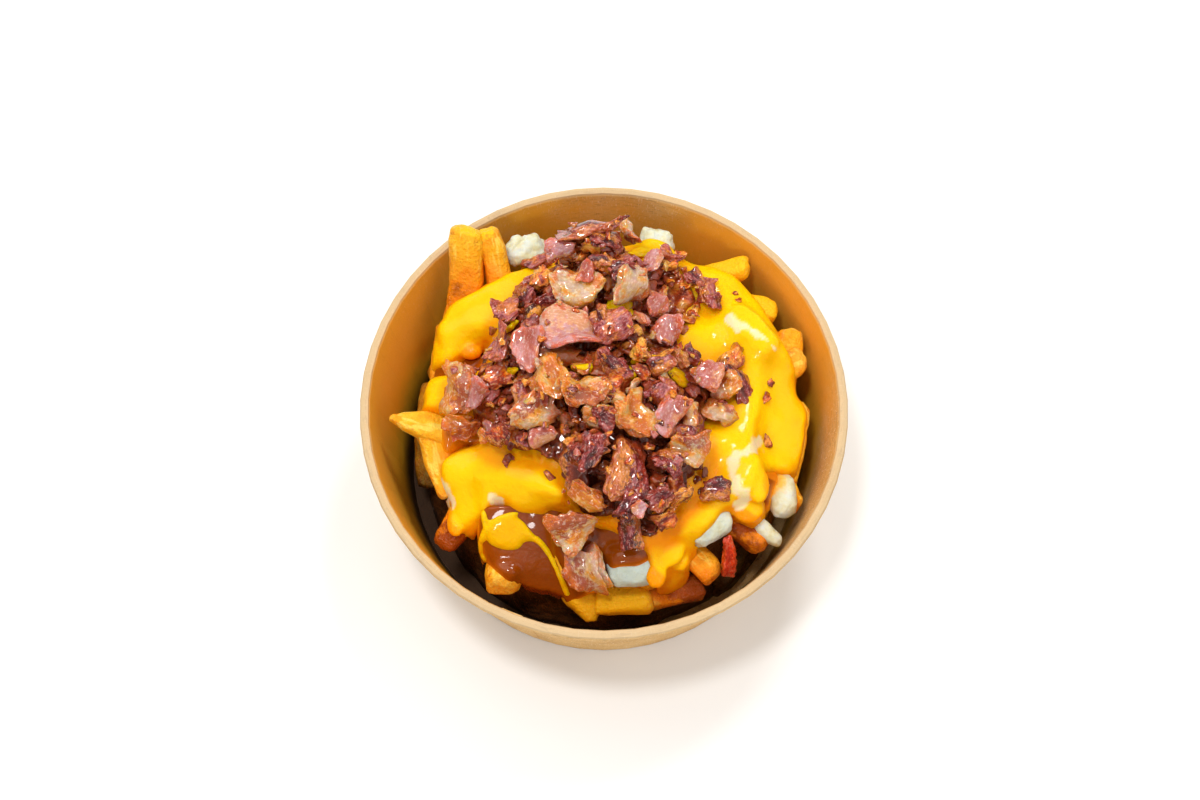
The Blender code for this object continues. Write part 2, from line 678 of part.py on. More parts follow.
def build():
    for old in list(bpy.data.objects):
        bpy.data.objects.remove(old)
    parts = bpy.data.collections.new("cheese_and_bacon_poutine")
    guides = bpy.data.collections.new("guides")
    for collection in (parts, guides):
        bpy.context.scene.collection.children.link(collection)

    build_bowl(parts)
    ground = heap_body("heap_grown", guides, LAYER_GAP)
    curds = build_curds(parts, guides, ground)
    mounds = [
        (CURDS[i][0], CURDS[i][1], max(CURDS[i][2:4]) + COVER_REACH, CURDS[i][4] + CURDS[i][6] + COVER - SAUCE)
        for i in COVERED_CURDS
    ]
    layer("cheese_sauce", SAUCE_EDGE, LAYER_GAP, SAUCE, CHEESE, parts, guides, mounds, curds)
    sauce_room = prism("sauce_room", SAUCE_EDGE, guides, LAYER_GAP)
    for name, edge in GRAVY_EDGES.items():
        layer(name, edge, LAYER_GAP, GRAVY, BROWN_GRAVY, parts, guides, mounds, curds + [sauce_room])
    layer("cheese_swirl", SWIRL_EDGE, 2 * LAYER_GAP + GRAVY, SWIRL, CHEESE, parts, guides)
    build_bacon(parts, guides, mounds, curds)

    kept_clear = bpy.data.collections.new("kept_clear")
    bpy.context.scene.collection.children.link(kept_clear)
    for curd in curds:
        kept_clear.objects.link(curd)
    for name, edge, height in (
        ("sauce_room", SAUCE_EDGE, LAYER_GAP + SAUCE),
        ("swirl_room", SWIRL_EDGE, 2 * LAYER_GAP + GRAVY + SWIRL),
        ("bacon_room", BACON_EDGE, 2 * LAYER_GAP + SAUCE + BACON_DOME + BACON_ROOM),
        *((name, edge, LAYER_GAP + GRAVY) for name, edge in GRAVY_EDGES.items()),
    ):
        room = prism(name, edge, kept_clear, 2 * LAYER_GAP)
        top = heap_body(name + "_top", guides, height + TOUCH, mounds)
        combine(room, "INTERSECT", top)
    for name in LOOSE_BACON:
        add_object(name + "_room", loose_bacon_mesh(name, mounds, LAYER_GAP), None, kept_clear)
    build_fries(parts, guides, kept_clear)
    for collection in (guides, kept_clear):
        for old in list(collection.objects):
            remove(old)
        bpy.data.collections.remove(collection)


build()
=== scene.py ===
# %% [markdown]
# Cheese and bacon poutine in a kraft paper bowl.
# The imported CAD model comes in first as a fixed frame. It says how large the bowl is and where
# every fry, curd, puddle and piece of bacon lies. This notebook then gives each of them the shape
# and the finish of the real dish. Sizes are in millimetres, and MM turns them into Blender's metres.

# %% The frame
import math
import random

import bmesh
import bpy
import numpy as np
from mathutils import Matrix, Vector, noise
from mathutils.bvhtree import BVHTree


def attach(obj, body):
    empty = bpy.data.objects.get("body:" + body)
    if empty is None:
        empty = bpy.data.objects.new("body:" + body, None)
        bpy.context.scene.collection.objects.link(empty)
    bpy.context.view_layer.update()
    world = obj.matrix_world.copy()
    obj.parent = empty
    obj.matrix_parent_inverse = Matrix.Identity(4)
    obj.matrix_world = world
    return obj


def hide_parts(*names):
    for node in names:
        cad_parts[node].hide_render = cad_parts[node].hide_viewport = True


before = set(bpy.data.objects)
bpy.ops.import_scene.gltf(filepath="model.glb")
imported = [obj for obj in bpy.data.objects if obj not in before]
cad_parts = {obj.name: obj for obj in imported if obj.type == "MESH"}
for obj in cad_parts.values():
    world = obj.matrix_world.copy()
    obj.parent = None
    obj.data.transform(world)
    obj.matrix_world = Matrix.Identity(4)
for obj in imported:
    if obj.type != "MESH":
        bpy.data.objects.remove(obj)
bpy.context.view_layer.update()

MM = 0.001

# %% [markdown]
# The camera comes before the food, because it is also a measuring tool. The dish was seen from in
# front and well above. A line from the camera through a point of the picture meets the food at one
# place, and so anything that shows in the picture can be laid where it really rests.

# %% Camera
PICTURE_WIDTH, PICTURE_HEIGHT = 1200, 800
FOCAL_PIXELS = 1468.0
CAMERA_ELEVATION = math.radians(67.69)
CAMERA_DISTANCE = 450.0
LOOK_AT = np.array([-1.22, -0.6, 60.0])
BACK = np.array([0.0, -math.cos(CAMERA_ELEVATION), math.sin(CAMERA_ELEVATION)])
UP = np.array([0.0, math.sin(CAMERA_ELEVATION), math.cos(CAMERA_ELEVATION)])
EYE = LOOK_AT + BACK * CAMERA_DISTANCE


def into_scene(name, data):
    """An object with a mesh, a lamp or a camera in it, linked into the scene."""
    made = bpy.data.objects.new(name, data)
    bpy.context.scene.collection.objects.link(made)
    return made


camera_data = bpy.data.cameras.new("camera")
camera_data.sensor_width = 36.0
camera_data.lens = camera_data.sensor_width * FOCAL_PIXELS / PICTURE_WIDTH
camera = into_scene("camera", camera_data)
camera.location = Vector(EYE) * MM
camera.rotation_euler = (math.pi / 2 - CAMERA_ELEVATION, 0, 0)
bpy.context.scene.camera = camera
print(f"camera {camera_data.lens:.1f} mm lens, {CAMERA_DISTANCE:.0f} mm away")

# %% [markdown]
# The bare heap of fries is a rounded hill. The CAD model builds it from a formula, and the same
# formula is used here, because a smooth surface is a better floor for outlines than a mesh with
# fries sticking out of it. A fry that leans on the wall would catch a line of sight too early.

# %% The hill that the food follows
HEAP_TOP = 68.0          # height of its middle
HEAP_RADIUS = 61.0
EDGE_HEIGHT = 46.0       # height of its edge, on average
EDGE_TILT = 6.0          # how much higher the edge is at the back, and lower in front
HILL_POWER = 2.6         # the larger, the flatter its top
FLANK_SLOPE = 5.0        # fall past the edge
# Bays in its edge: direction in degrees, depth, spread in degrees
BAYS = [(222, 7.0, 22), (285, 3.0, 22), (40, 1.5, 20)]
FOOT_RADIUS = 64.0       # of the bowl's inner wall
WALL_TOP_RADIUS, WALL_TOP = 72.0, 58.5


def wall_inside(z):
    """Inner radius of the bowl's wall at height z."""
    return FOOT_RADIUS + (WALL_TOP_RADIUS - FOOT_RADIUS) * z / WALL_TOP


def hill(x, y):
    """Height of the bare heap; past its edge it falls away steeply."""
    direction = np.arctan2(y, x)
    radius = HEAP_RADIUS + 0 * direction
    for at, depth, spread in BAYS:
        away = (np.degrees(direction) - at + 180) % 360 - 180
        radius = radius - depth * np.exp(-((away / spread) ** 2))
    edge = EDGE_HEIGHT + EDGE_TILT * np.sin(direction)
    outwards = np.hypot(x, y) / radius
    inside = np.minimum(outwards, 1)
    top = edge + (HEAP_TOP - edge) * (1 - inside ** HILL_POWER)
    return top - FLANK_SLOPE * radius * np.maximum(outwards - 1, 0)


print("hill at its middle and at the right edge:", hill(0.0, 0.0), round(float(hill(60.0, 0.0)), 1))

# %% [markdown]
# Liquids and piled crumbs are easiest to lay with a height map: a fine square grid that holds the
# height of whatever is on top so far. Each new layer reads the map, rests on it and then raises it.

# %% Height map
STEP = 0.5         # between two points of the grid
REACH = 76.0       # from its middle to its sides
AXIS = np.arange(-REACH, REACH + STEP / 2, STEP)
GRID_X, GRID_Y = np.meshgrid(AXIS, AXIS, indexing="ij")
LOWEST = 7.0       # no food lies lower in the bowl
FOOD_EDGE = 36.0   # a line of sight that ends lower than this has missed the heap
SIGHT_TOP, SIGHT_STEP = 100.0, 0.25      # lines of sight are followed down from here, in these steps


def read_map(field, x, y):
    """Height of a map at any places, blended between its points."""
    column = np.clip((np.asarray(x) + REACH) / STEP, 0, len(AXIS) - 1.001)
    row = np.clip((np.asarray(y) + REACH) / STEP, 0, len(AXIS) - 1.001)
    i, j = column.astype(int), row.astype(int)
    u, v = column - i, row - j
    near = field[i, j] * (1 - u) + field[i + 1, j] * u
    far = field[i, j + 1] * (1 - u) + field[i + 1, j + 1] * u
    return near * (1 - v) + far * v


def seen_at(px, py, field, lift=0.0):
    """The place on a height map that the camera sees at a point of the picture."""
    line = -BACK * FOCAL_PIXELS + UP * (PICTURE_HEIGHT / 2 - py)
    line[0] += px - PICTURE_WIDTH / 2
    heights = np.arange(SIGHT_TOP, LOWEST, -SIGHT_STEP)
    along = (heights - EYE[2]) / line[2]
    x, y = EYE[0] + along * line[0], EYE[1] + along * line[1]
    under = np.nonzero(heights <= read_map(field, x, y) + lift)[0]
    first = under[0] if len(under) else len(heights) - 1
    return float(x[first]), float(y[first]), float(heights[first])


def seen_on_food(px, py, field, lift=0.0):
    """The same, but a line of sight that misses the food is moved in, bit by bit, until it meets it."""
    while True:
        x, y, z = seen_at(px, py, field, lift)
        if z > FOOD_EDGE:
            return x, y, z
        px, py = px + (PICTURE_WIDTH / 2 - px) * 0.01, py + (PICTURE_HEIGHT / 2 - py) * 0.01


HILL_MAP = np.maximum(hill(GRID_X, GRID_Y), LOWEST)
print("map of", HILL_MAP.shape, "points, picture centre at", seen_at(600, 400, HILL_MAP))

# %% [markdown]
# Two filters change a whole map at once. One rolls a blunt tip over it, as a thick liquid would
# lie, and the other smooths it. Both shift the whole grid by a few cells and compare or average,
# which is much faster in Python than a loop over all of its points.

# %% Filters for the map


def spread_out(field, cells, curve):
    """Roll a blunt tip over a map: each point takes the highest neighbour, less for its distance."""
    found = field.copy()
    for i in range(-cells, cells + 1):
        for j in range(-cells, cells + 1):
            far = (i * i + j * j) * STEP * STEP
            if far <= (cells * STEP) ** 2:
                found = np.maximum(found, np.roll(field, (i, j), (0, 1)) - far * curve)
    return found


def soften(field, rounds):
    """Average each point with its neighbours, some rounds over."""
    for _ in range(rounds):
        for axis in (0, 1):
            field = (np.roll(field, 1, axis) + 2 * field + np.roll(field, -1, axis)) / 4
    return field


# %% [markdown]
# Small helpers make the meshes. Every piece rides on the one body and gets one material. A piece
# that stands for plain CAD solids hides them. A mesh can also carry numbers at its points, and its
# material reads them as attributes.

# %% Making pieces


def rumple(points, size, seed):
    """Smooth noise from -1 to 1 at every point, with bumps of the given size."""
    shift = Vector((seed * 7.31, seed * 3.17, seed * 5.77))
    return np.array([noise.noise(Vector(p) / size + shift) for p in points])


def add_values(mesh, label, values):
    """Give every point of a mesh a number or a vector that its material can read."""
    values = np.asarray(values, dtype=np.float32)
    kind, field = ("FLOAT_VECTOR", "vector") if values.ndim == 2 else ("FLOAT", "value")
    mesh.attributes.new(label, kind, "POINT").data.foreach_set(field, values.ravel())


def new_piece(name, points, faces, finish, attributes=None, stands_for=()):
    """A smooth mesh piece from points in millimetres."""
    mesh = bpy.data.meshes.new(name)
    mesh.from_pydata((np.asarray(points) * MM).tolist(), [], faces)
    mesh.materials.append(finish.material)
    for label, values in (attributes or {}).items():
        add_values(mesh, label, values)
    mesh.validate()
    mesh.shade_smooth()
    piece = into_scene(name, mesh)
    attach(piece, "root")
    if stands_for:
        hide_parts(*stands_for)
    print(f"{name}: {len(mesh.vertices)} points, {len(mesh.polygons)} faces")
    return piece


# %% [markdown]
# Fries and bits of bacon come by the dozen or by the hundred. As separate objects they would make
# the scene slow, so small shapes of one kind are collected first and become one mesh. A shape is
# made lying along the first axis, and is then turned to where it belongs.

# %% Many shapes in one piece


class Heap:
    """Collects many small closed shapes that become one piece."""

    def __init__(self):
        self.points, self.faces, self.attributes, self.count = [], [], {}, 0

    def add(self, points, faces, **attributes):
        self.points.append(points)
        self.faces.extend([[corner + self.count for corner in face] for face in faces])
        for label, values in attributes.items():
            self.attributes.setdefault(label, []).append(values)
        self.count += len(points)

    def piece(self, name, finish, slot, stands_for=()):
        joined = {label: np.concatenate(parts) for label, parts in self.attributes.items()}
        return new_piece(name, np.concatenate(self.points), self.faces, finish, joined, stands_for)


def turn_to(along):
    """Three axes as rows: the first along a direction, the last as near to straight up as it can be."""
    first = np.asarray(along, float)
    first = first / np.linalg.norm(first)
    side = np.cross((0, 0, 1), first)
    side = side / np.linalg.norm(side)
    return np.array([first, side, np.cross(first, side)])


STAIN_REACH = 1.35      # sizes away from its middle, where a stain ends


def stained_near(points, stains):
    """How strongly points are stained by places with a middle, a size and a strength."""
    stained = np.zeros(len(points))
    for middle, size, strength in stains:
        far = np.linalg.norm(points - np.array(middle), axis=1) / size
        stained = np.maximum(stained, np.clip(STAIN_REACH - far, 0, 1) * strength)
    return stained


# %% [markdown]
# Materials are built from nodes, and most of a node tree is plain arithmetic on masks. Written node
# by node, that is long and hard to read. So what a node puts out is wrapped here as a wire, and
# wires can be added, subtracted and multiplied like numbers: each sign makes one Math node.

# %% Wires


class Wire:
    """What a node puts out, for use in sums and in other nodes of the same tree."""

    def __init__(self, socket):
        self.socket, self.tree = socket, socket.id_data

    def __add__(self, other):
        return calculate("ADD", self, other)

    def __sub__(self, other):
        return calculate("SUBTRACT", self, other)

    def __rsub__(self, other):
        return calculate("SUBTRACT", other, self)

    def __mul__(self, other):
        return calculate("MULTIPLY", self, other)


def plug(sockets, values):
    """Link wires to sockets and set plain values; an underscore in a name stands for a space."""
    for label, value in values.items():
        socket = sockets[label.replace("_", " ") if isinstance(label, str) else label]
        if isinstance(value, Wire):
            value.tree.links.new(value.socket, socket)
        else:
            socket.default_value = value


def add_node(tree, kind, output, values=None, **settings):
    """Add a node with its settings, plug values into it and give back one of its outputs."""
    made = tree.nodes.new(kind)
    for label, setting in settings.items():
        setattr(made, label, setting)
    plug(made.inputs, values or {})
    return Wire(made.outputs[output])


def calculate(operation, first, second=0.0):
    """One Math node; at least one of its two values is a wire."""
    tree = (first if isinstance(first, Wire) else second).tree
    return add_node(tree, "ShaderNodeMath", 0, {0: first, 1: second}, operation=operation)


def vector_math(operation, first, others=None, output="Vector"):
    """One Vector Math node; the others are its further inputs by number or name."""
    values = {0: first, **(others or {})}
    return add_node(first.tree, "ShaderNodeVectorMath", output, values, operation=operation)


def split(vector):
    """The three numbers of a vector."""
    made = vector.tree.nodes.new("ShaderNodeSeparateXYZ")
    plug(made.inputs, {0: vector})
    return [Wire(socket) for socket in made.outputs]


# %% [markdown]
# Three kinds of nodes come back in every finish. Map Range turns any number into a mask with a
# soft edge, a colour ramp turns a mask into colours, and a Mix node lays one colour over another
# where a mask says so.

# %% Masks and colours


def between(value, low, high):
    """0 at low, 1 at high, smooth in between; high may be the smaller number."""
    return add_node(value.tree, "ShaderNodeMapRange", "Result",
                    {"Value": value, "From_Min": low, "From_Max": high}, interpolation_type="SMOOTHSTEP")


def ramp(mask, stops):
    """A mask turned into colours: stops are (place from 0 to 1, colour)."""
    made = mask.tree.nodes.new("ShaderNodeValToRGB")
    plug(made.inputs, {"Fac": mask})
    band = made.color_ramp
    while len(band.elements) < len(stops):
        band.elements.new(0.5)
    for element, (place, colour) in zip(band.elements, stops):
        element.position = place
        element.color = (*colour, 1)
    return Wire(made.outputs["Color"])


def blend(mask, first, second):
    """Mix two colours by a mask: where the mask is 1, all is the second."""
    values = {6: first, 7: second}
    for label, value in values.items():
        if not isinstance(value, Wire):
            values[label] = (*value, 1)
    return add_node(mask.tree, "ShaderNodeMix", 2, {"Factor": mask, **values}, data_type="RGBA")


# %% [markdown]
# The materials share a few effects: colour that drifts from place to place, fine relief, and the
# small bright specks that are painted glints of grease. Each effect is a node group with its own
# inputs, built once here. The groups put out masks and normals, and the shaders stay in the materials.

# %% Node groups


def new_group(name, inputs, output, kind):
    """An empty node group with named sockets: (tree, its input wires, its output sockets)."""
    tree = bpy.data.node_groups.new(name, "ShaderNodeTree")
    for label, value in {"Place": None, **inputs}.items():
        vector = value is None or isinstance(value, tuple)
        socket = tree.interface.new_socket(
            label, in_out="INPUT", socket_type="NodeSocketVector" if vector else "NodeSocketFloat")
        if value is not None:
            socket.default_value = value
    tree.interface.new_socket(output, in_out="OUTPUT", socket_type=kind)
    given = {socket.name: Wire(socket) for socket in tree.nodes.new("NodeGroupInput").outputs[:-1]}
    return tree, given, tree.nodes.new("NodeGroupOutput").inputs


def use_group(group, place, **values):
    """Place a group where the wire of coordinates is, with its own values."""
    made = place.tree.nodes.new("ShaderNodeGroup")
    made.node_tree = group
    plug(made.inputs, {"Place": place, **values})
    return Wire(made.outputs[0])


def cloudy(given, detail, roughness):
    """Noise at a group's place, stretched and scaled as the group was told."""
    stretched = vector_math("MULTIPLY", given["Place"], {1: given["Stretch"]})
    return add_node(stretched.tree, "ShaderNodeTexNoise", "Fac", {
        "Vector": stretched, "Scale": given["Scale"], "Detail": detail, "Roughness": roughness})


# %% [markdown]
# The first group is drift: soft clouds of colour. A plain noise gives middling values almost
# everywhere, so the group stretches them until the mask reaches both 0 and 1.

# %% Drift group
drift, given, result = new_group(
    "drift", {"Scale": 0.2, "Stretch": (1, 1, 1), "Detail": 3.0}, "Mask", "NodeSocketFloat")
plug(result, {"Mask": between(cloudy(given, given["Detail"], 0.55), 0.28, 0.72)})

# %% [markdown]
# The second is relief: a fine roughness that only bends the light. Depth is in metres. It takes a
# normal as well, so that a fine relief can lie on a coarse one.

# %% Relief group
relief, given, result = new_group(
    "relief", {"Scale": 1.0, "Depth": 0.0003, "Stretch": (1, 1, 1), "Normal": None},
    "Normal", "NodeSocketVector")
raised = add_node(relief, "ShaderNodeBump", "Normal", {
    "Height": cloudy(given, 4.0, 0.6), "Distance": given["Depth"], "Normal": given["Normal"],
    "Strength": 1.0})
plug(result, {"Normal": raised})

# %% [markdown]
# The third is specks, for painted glints. A Voronoi texture measures how far it is to the nearest of many
# scattered points, and a speck is wherever that is less than the amount asked for.

# %% Speck group
glint_specks, given, result = new_group("glint_specks", {"Scale": 1.5, "Amount": 0.3}, "Mask", "NodeSocketFloat")
nearest_point = add_node(glint_specks, "ShaderNodeTexVoronoi", "Distance", {
    "Vector": given["Place"], "Scale": given["Scale"]}, feature="F1")
plug(result, {"Mask": between(given["Amount"] - nearest_point, 0.0, 0.12)})
print("node groups:", [group.name for group in bpy.data.node_groups])

# %% [markdown]
# Each finish is one material with one Principled shader. It starts from coordinates fixed to the
# object, from numbers that the mesh carries at its points, or from the surface's direction, and it
# ends where wires and plain values are fed to the shader.

# %% Starting a material


class Finish:
    """A material under way."""

    def __init__(self, name):
        self.material = bpy.data.materials.new(name)
        self.material.use_nodes = True
        self.tree = self.material.node_tree

    def read(self, label, output="Fac"):
        """What add_values gave to the points of the mesh."""
        return add_node(self.tree, "ShaderNodeAttribute", output, attribute_name=label)

    def place(self):
        """Coordinates in millimetres, fixed to the object."""
        metres = add_node(self.tree, "ShaderNodeTexCoord", "Object")
        return vector_math("SCALE", metres, {"Scale": 1 / MM})

    def normal(self):
        """Direction that the surface faces."""
        return add_node(self.tree, "ShaderNodeNewGeometry", "Normal")

    def feed(self, **sockets):
        """Wires and plain values for the shader."""
        plug(self.tree.nodes["Principled BSDF"].inputs, sockets)


# %% [markdown]
# The bowl is unbleached kraft board. Real board shows long and short wood fibres lying every way,
# some darker and some paler than the sheet, and a pale band where the rim is rolled over. Hot
# grease soaks in from the food side and turns the board amber and a little shiny. Two noises,
# stretched round the bowl and up it, make the fibres, and the height above the table says how far
# the grease has crept.

# %% Kraft board
WRAP_RADIUS = 70.0      # turns an angle round the bowl into millimetres
kraft = Finish("kraft_board")
place = kraft.place()
x, y, height = split(place)
around = calculate("ARCTAN2", y, x)
unrolled = add_node(kraft.tree, "ShaderNodeCombineXYZ", 0, {
    "X": around * WRAP_RADIUS, "Y": height, "Z": vector_math("LENGTH", place, output="Value")})
tone = use_group(drift, place, Scale=0.06, Detail=4.0)
lying = use_group(drift, unrolled, Scale=0.9, Stretch=(0.35, 3.0, 1), Detail=2.0)
standing = use_group(drift, unrolled, Scale=0.8, Stretch=(3.2, 0.4, 1), Detail=2.0)
board = ramp(tone, [(0.0, (0.60, 0.34, 0.11)), (0.5, (0.69, 0.41, 0.14)), (1.0, (0.76, 0.48, 0.19))])
board = blend(between(lying, 0.72, 0.95), board, (0.44, 0.25, 0.09))
board = blend(between(standing, 0.78, 0.97), board, (0.80, 0.58, 0.33))
print("board with fibres:", len(kraft.tree.nodes), "nodes")

# %% [markdown]
# The grease is only on the face that looks inwards. A face looks inwards where its direction points
# against its place, seen from the middle of the bowl. How far up the grease crept changes round the
# bowl: most on the left and the right, where the sauce comes near the wall.

# %% Grease on the board
normal = kraft.normal()
inwards = between(vector_math("DOT_PRODUCT", normal, {1: place}, "Value"), 5.0, -25.0)
# The lower this number, the wetter the board: it is the height, changed by chance and by direction
creep = height + tone * 14.0
creep = creep - calculate("COSINE", around * 2.0 - 0.80) * 17.0
# The creep is raised on the front right, so the board stays paler there, and lowered behind the fries on
# the left
for direction, change in ((-0.65, 36.0), (2.30, -22.0)):
    near = calculate("COSINE", around - direction)
    creep = creep + between(near, 0.55, 1.0) * change
soaked = between(creep, 80.0, 48.0) * inwards
board = blend(soaked * 0.85, board, (0.86, 0.39, 0.018))
board = blend(between(height, 48.0, 26.0) * soaked * 0.8, board, (0.80, 0.40, 0.014))
# Down in the gap between food and wall, and on the bowl's floor, the board is painted near black: painted
# shade of the deep gap, with some gravy
upwards = split(normal)[2]
floor_shade_and_gravy = between(upwards, 0.4, 0.8) * between(height, 20.0, 12.0)
gap_shade_and_gravy = calculate("MAXIMUM", between(height, 22.0, 9.0) * inwards, floor_shade_and_gravy)
# In front on the right less of this painted shade and gravy is laid
gap_shade_and_gravy = gap_shade_and_gravy * between(calculate("COSINE", around + 0.75), 1.10, 0.75)
board = blend(gap_shade_and_gravy * 0.97, board, (0.030, 0.009, 0.002))
# The rolled rim is painted pale: clean board, and a painted highlight along the lip
board = blend(between(height, 58.2, 59.6) * 0.8, board, (0.57, 0.42, 0.25))
fuzz = use_group(relief, place, Scale=1.6, Depth=0.00012)
kraft.feed(Base_Color=board, Roughness=0.72 - soaked * 0.22, Normal=fuzz, Specular_IOR_Level=0.25)
for label in ("bowl", "bowl_base"):
    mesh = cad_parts[label].data
    mesh.materials.clear()
    mesh.materials.append(kraft.material)
    mesh.shade_smooth()
    mesh.set_sharp_from_angle(angle=math.radians(50))
print("kraft board on the bowl and its base")

# %% [markdown]
# A paper bowl is one fan-shaped blank, wrapped round and glued where its ends overlap. The overlap
# shows as a narrow raised strip from the rim to the foot, on the inside and the outside. It is a
# strip of the same board that follows the cone, barely raised and with soft edges. Each strip is a
# closed box: a sheet of points on the wall, a second one over it, and a border that joins them.

# %% Side seam
SEAM_DIRECTION = math.radians(248)
SEAM_WIDTH = 8.0
SEAM_PROUD = 0.35     # over the wall
SEAM_SUNK = 0.15      # into the wall
SEAM_FOOT = 7.5
INSIDE_TOP, OUTSIDE_TOP = 57.6, 56.6      # both end under the rolled rim
PAPER = 0.6           # thickness of the wall
SEAM_ROWS, SEAM_COLUMNS = 24, 9
SHEET = SEAM_ROWS * SEAM_COLUMNS
seam = Heap()
for side, top in ((-1, INSIDE_TOP), (1, OUTSIDE_TOP)):
    points = []
    for layer in (0.0, 1.0):
        for z in np.linspace(SEAM_FOOT, top, SEAM_ROWS):
            for share in np.linspace(-0.5, 0.5, SEAM_COLUMNS):
                bulge = SEAM_PROUD * min(1.0, (1 - abs(2 * share)) * 6) * layer
                surface = wall_inside(z) + (PAPER if side > 0 else 0.0)
                r = surface + side * bulge - side * SEAM_SUNK * (1 - layer)
                direction = SEAM_DIRECTION + share * SEAM_WIDTH / surface
                points.append((r * math.cos(direction), r * math.sin(direction), z))
    rows, columns = SEAM_ROWS, SEAM_COLUMNS
    faces = []
    for layer in (0, 1):
        for i in range(rows - 1):
            for j in range(columns - 1):
                corner = layer * SHEET + i * columns + j
                quad = [corner, corner + 1, corner + columns + 1, corner + columns]
                faces.append(quad if (layer == 1) == (side < 0) else quad[::-1])
    border = [*range(columns)] + [i * columns + columns - 1 for i in range(1, rows)]
    border += [(rows - 1) * columns + j for j in range(columns - 2, -1, -1)]
    border += [i * columns for i in range(rows - 2, 0, -1)]
    for first, second in zip(border, border[1:] + border[:1]):
        quad = [first, second, second + SHEET, first + SHEET]
        faces.append(quad if side < 0 else quad[::-1])
    seam.add(np.array(points), faces)
seam.piece("bowl_side_seam", kraft, "kraft_board")

# %% [markdown]
# The fries are thick cut and fried with crisp corners. Each is a bar with a rounded square section
# that bends, twists and swells a little, and whose ends are cut crooked. Two numbers travel with
# every point: how crisp it is there, which rises along the corners and at the ends, and whether it
# is the pale inside that shows on a cut end. The material turns these into colour.

# %% One fry
FRY_AROUND = 20      # points round its section
FRY_STEP = 1.3       # between two sections
SQUARENESS = 0.55    # 1 is a round section, 0 a sharp square
# The ends are domed in steps: size of the section, and how much of it is a cut face
DOME = [(0.96, 0.0), (0.86, 0.4), (0.66, 0.8), (0.42, 1.0), (0.18, 1.0)]


def fry_shape(foot, tip, width, draw, taper=0.0):
    """Points, faces and attributes of one fry, in millimetres; taper makes its tip a wedge."""
    foot, tip = np.array(foot, float), np.array(tip, float)
    length = float(np.linalg.norm(tip - foot))
    rings = max(10, int(length / FRY_STEP))
    thick = draw.uniform(0.82, 0.98)
    bend, sway = draw.uniform(-0.05, 0.05) * length, draw.uniform(-0.04, 0.04) * length
    twist, seed = draw.uniform(-0.3, 0.3), draw.uniform(0, 90)
    crook = [(draw.uniform(-0.25, 0.25), draw.uniform(-0.25, 0.25)) for _ in range(2)]
    stations = [(-1.0, scale, cut) for scale, cut in DOME[::-1]]
    stations += [(2 * i / (rings - 1) - 1, 1.0, 0) for i in range(rings)]
    stations += [(1.0, scale, cut) for scale, cut in DOME]
    dome = draw.uniform(0.16, 0.34) * width
    angles = np.arange(FRY_AROUND) * 2 * math.pi / FRY_AROUND
    section_y = np.sign(np.cos(angles)) * np.abs(np.cos(angles)) ** SQUARENESS
    section_z = np.sign(np.sin(angles)) * np.abs(np.sin(angles)) ** SQUARENESS
    corner = np.abs(np.sin(2 * angles)) ** 3
    local, crisp, pale = [], [], []
    for t, scale, cut in stations:
        shrink = (1 - 0.10 * abs(t) ** 5) * scale * (1 - taper * max(t, 0.0) ** 1.5)
        y, z = section_y * width / 2 * shrink, section_z * width * thick / 2 * shrink
        lean = crook[0 if t < 0 else 1]
        # The end is cut crooked and domed
        end = abs(t) ** 8
        x = t * (length / 2 - dome) + end * (lean[0] * y + lean[1] * z)
        x = x + math.copysign(dome, t) * math.sqrt(1 - scale * scale)
        turn = twist * t
        y, z = y * math.cos(turn) - z * math.sin(turn), y * math.sin(turn) + z * math.cos(turn)
        ring = np.stack([x + 0 * y, y + sway * (1 - t * t), z + bend * (1 - t * t)], axis=1)
        local.append(ring)
        crisp.append(np.clip(corner * 0.7 + end * 0.25, 0, 1) * (1 - 0.5 * cut))
        pale.append(np.full(FRY_AROUND, 0.7 * cut))
    local = np.concatenate(local)
    # It swells a little from place to place, and is ragged at its ends
    centre = np.array([[0, sway * (1 - t * t), bend * (1 - t * t)] for t, _, _ in stations])
    outward = local - np.repeat(centre, FRY_AROUND, axis=0)
    outward[:, 0] = 0
    outward /= np.maximum(np.linalg.norm(outward, axis=1), 0.5)[:, None]
    swell = rumple(local, 7.0, seed) * 0.7 + rumple(local, 2.4, seed + 9) * 0.28
    ends = np.clip(np.abs(local[:, 0]) / (length / 2) * 3 - 2.1, 0, 1)
    swell += ends * (rumple(local, 1.7, seed + 4) * 0.5 + rumple(local, 0.9, seed + 6) * 0.3)
    local = local + outward * swell[:, None]
    local[:, 0] += ends * rumple(local, 2.2, seed + 12) * 0.8
    faces = []
    for i in range(len(stations) - 1):
        for j in range(FRY_AROUND):
            k = (j + 1) % FRY_AROUND
            faces.append([i * FRY_AROUND + j, i * FRY_AROUND + k,
                          (i + 1) * FRY_AROUND + k, (i + 1) * FRY_AROUND + j])
    faces.append(list(range(FRY_AROUND))[::-1])
    last = (len(stations) - 1) * FRY_AROUND
    faces.append([last + j for j in range(FRY_AROUND)])
    world = local @ turn_to(tip - foot) + (foot + tip) / 2
    return world, faces, {
        "own": local + seed, "crisp": np.concatenate(crisp), "pale": np.concatenate(pale),
        "tone": np.full(len(world), draw.random())}


# %% [markdown]
# The fries that can be told apart lie exactly where the CAD model has them, foot and tip. A few
# more lie just under the sauce, where nobody sees them, and make it swell.

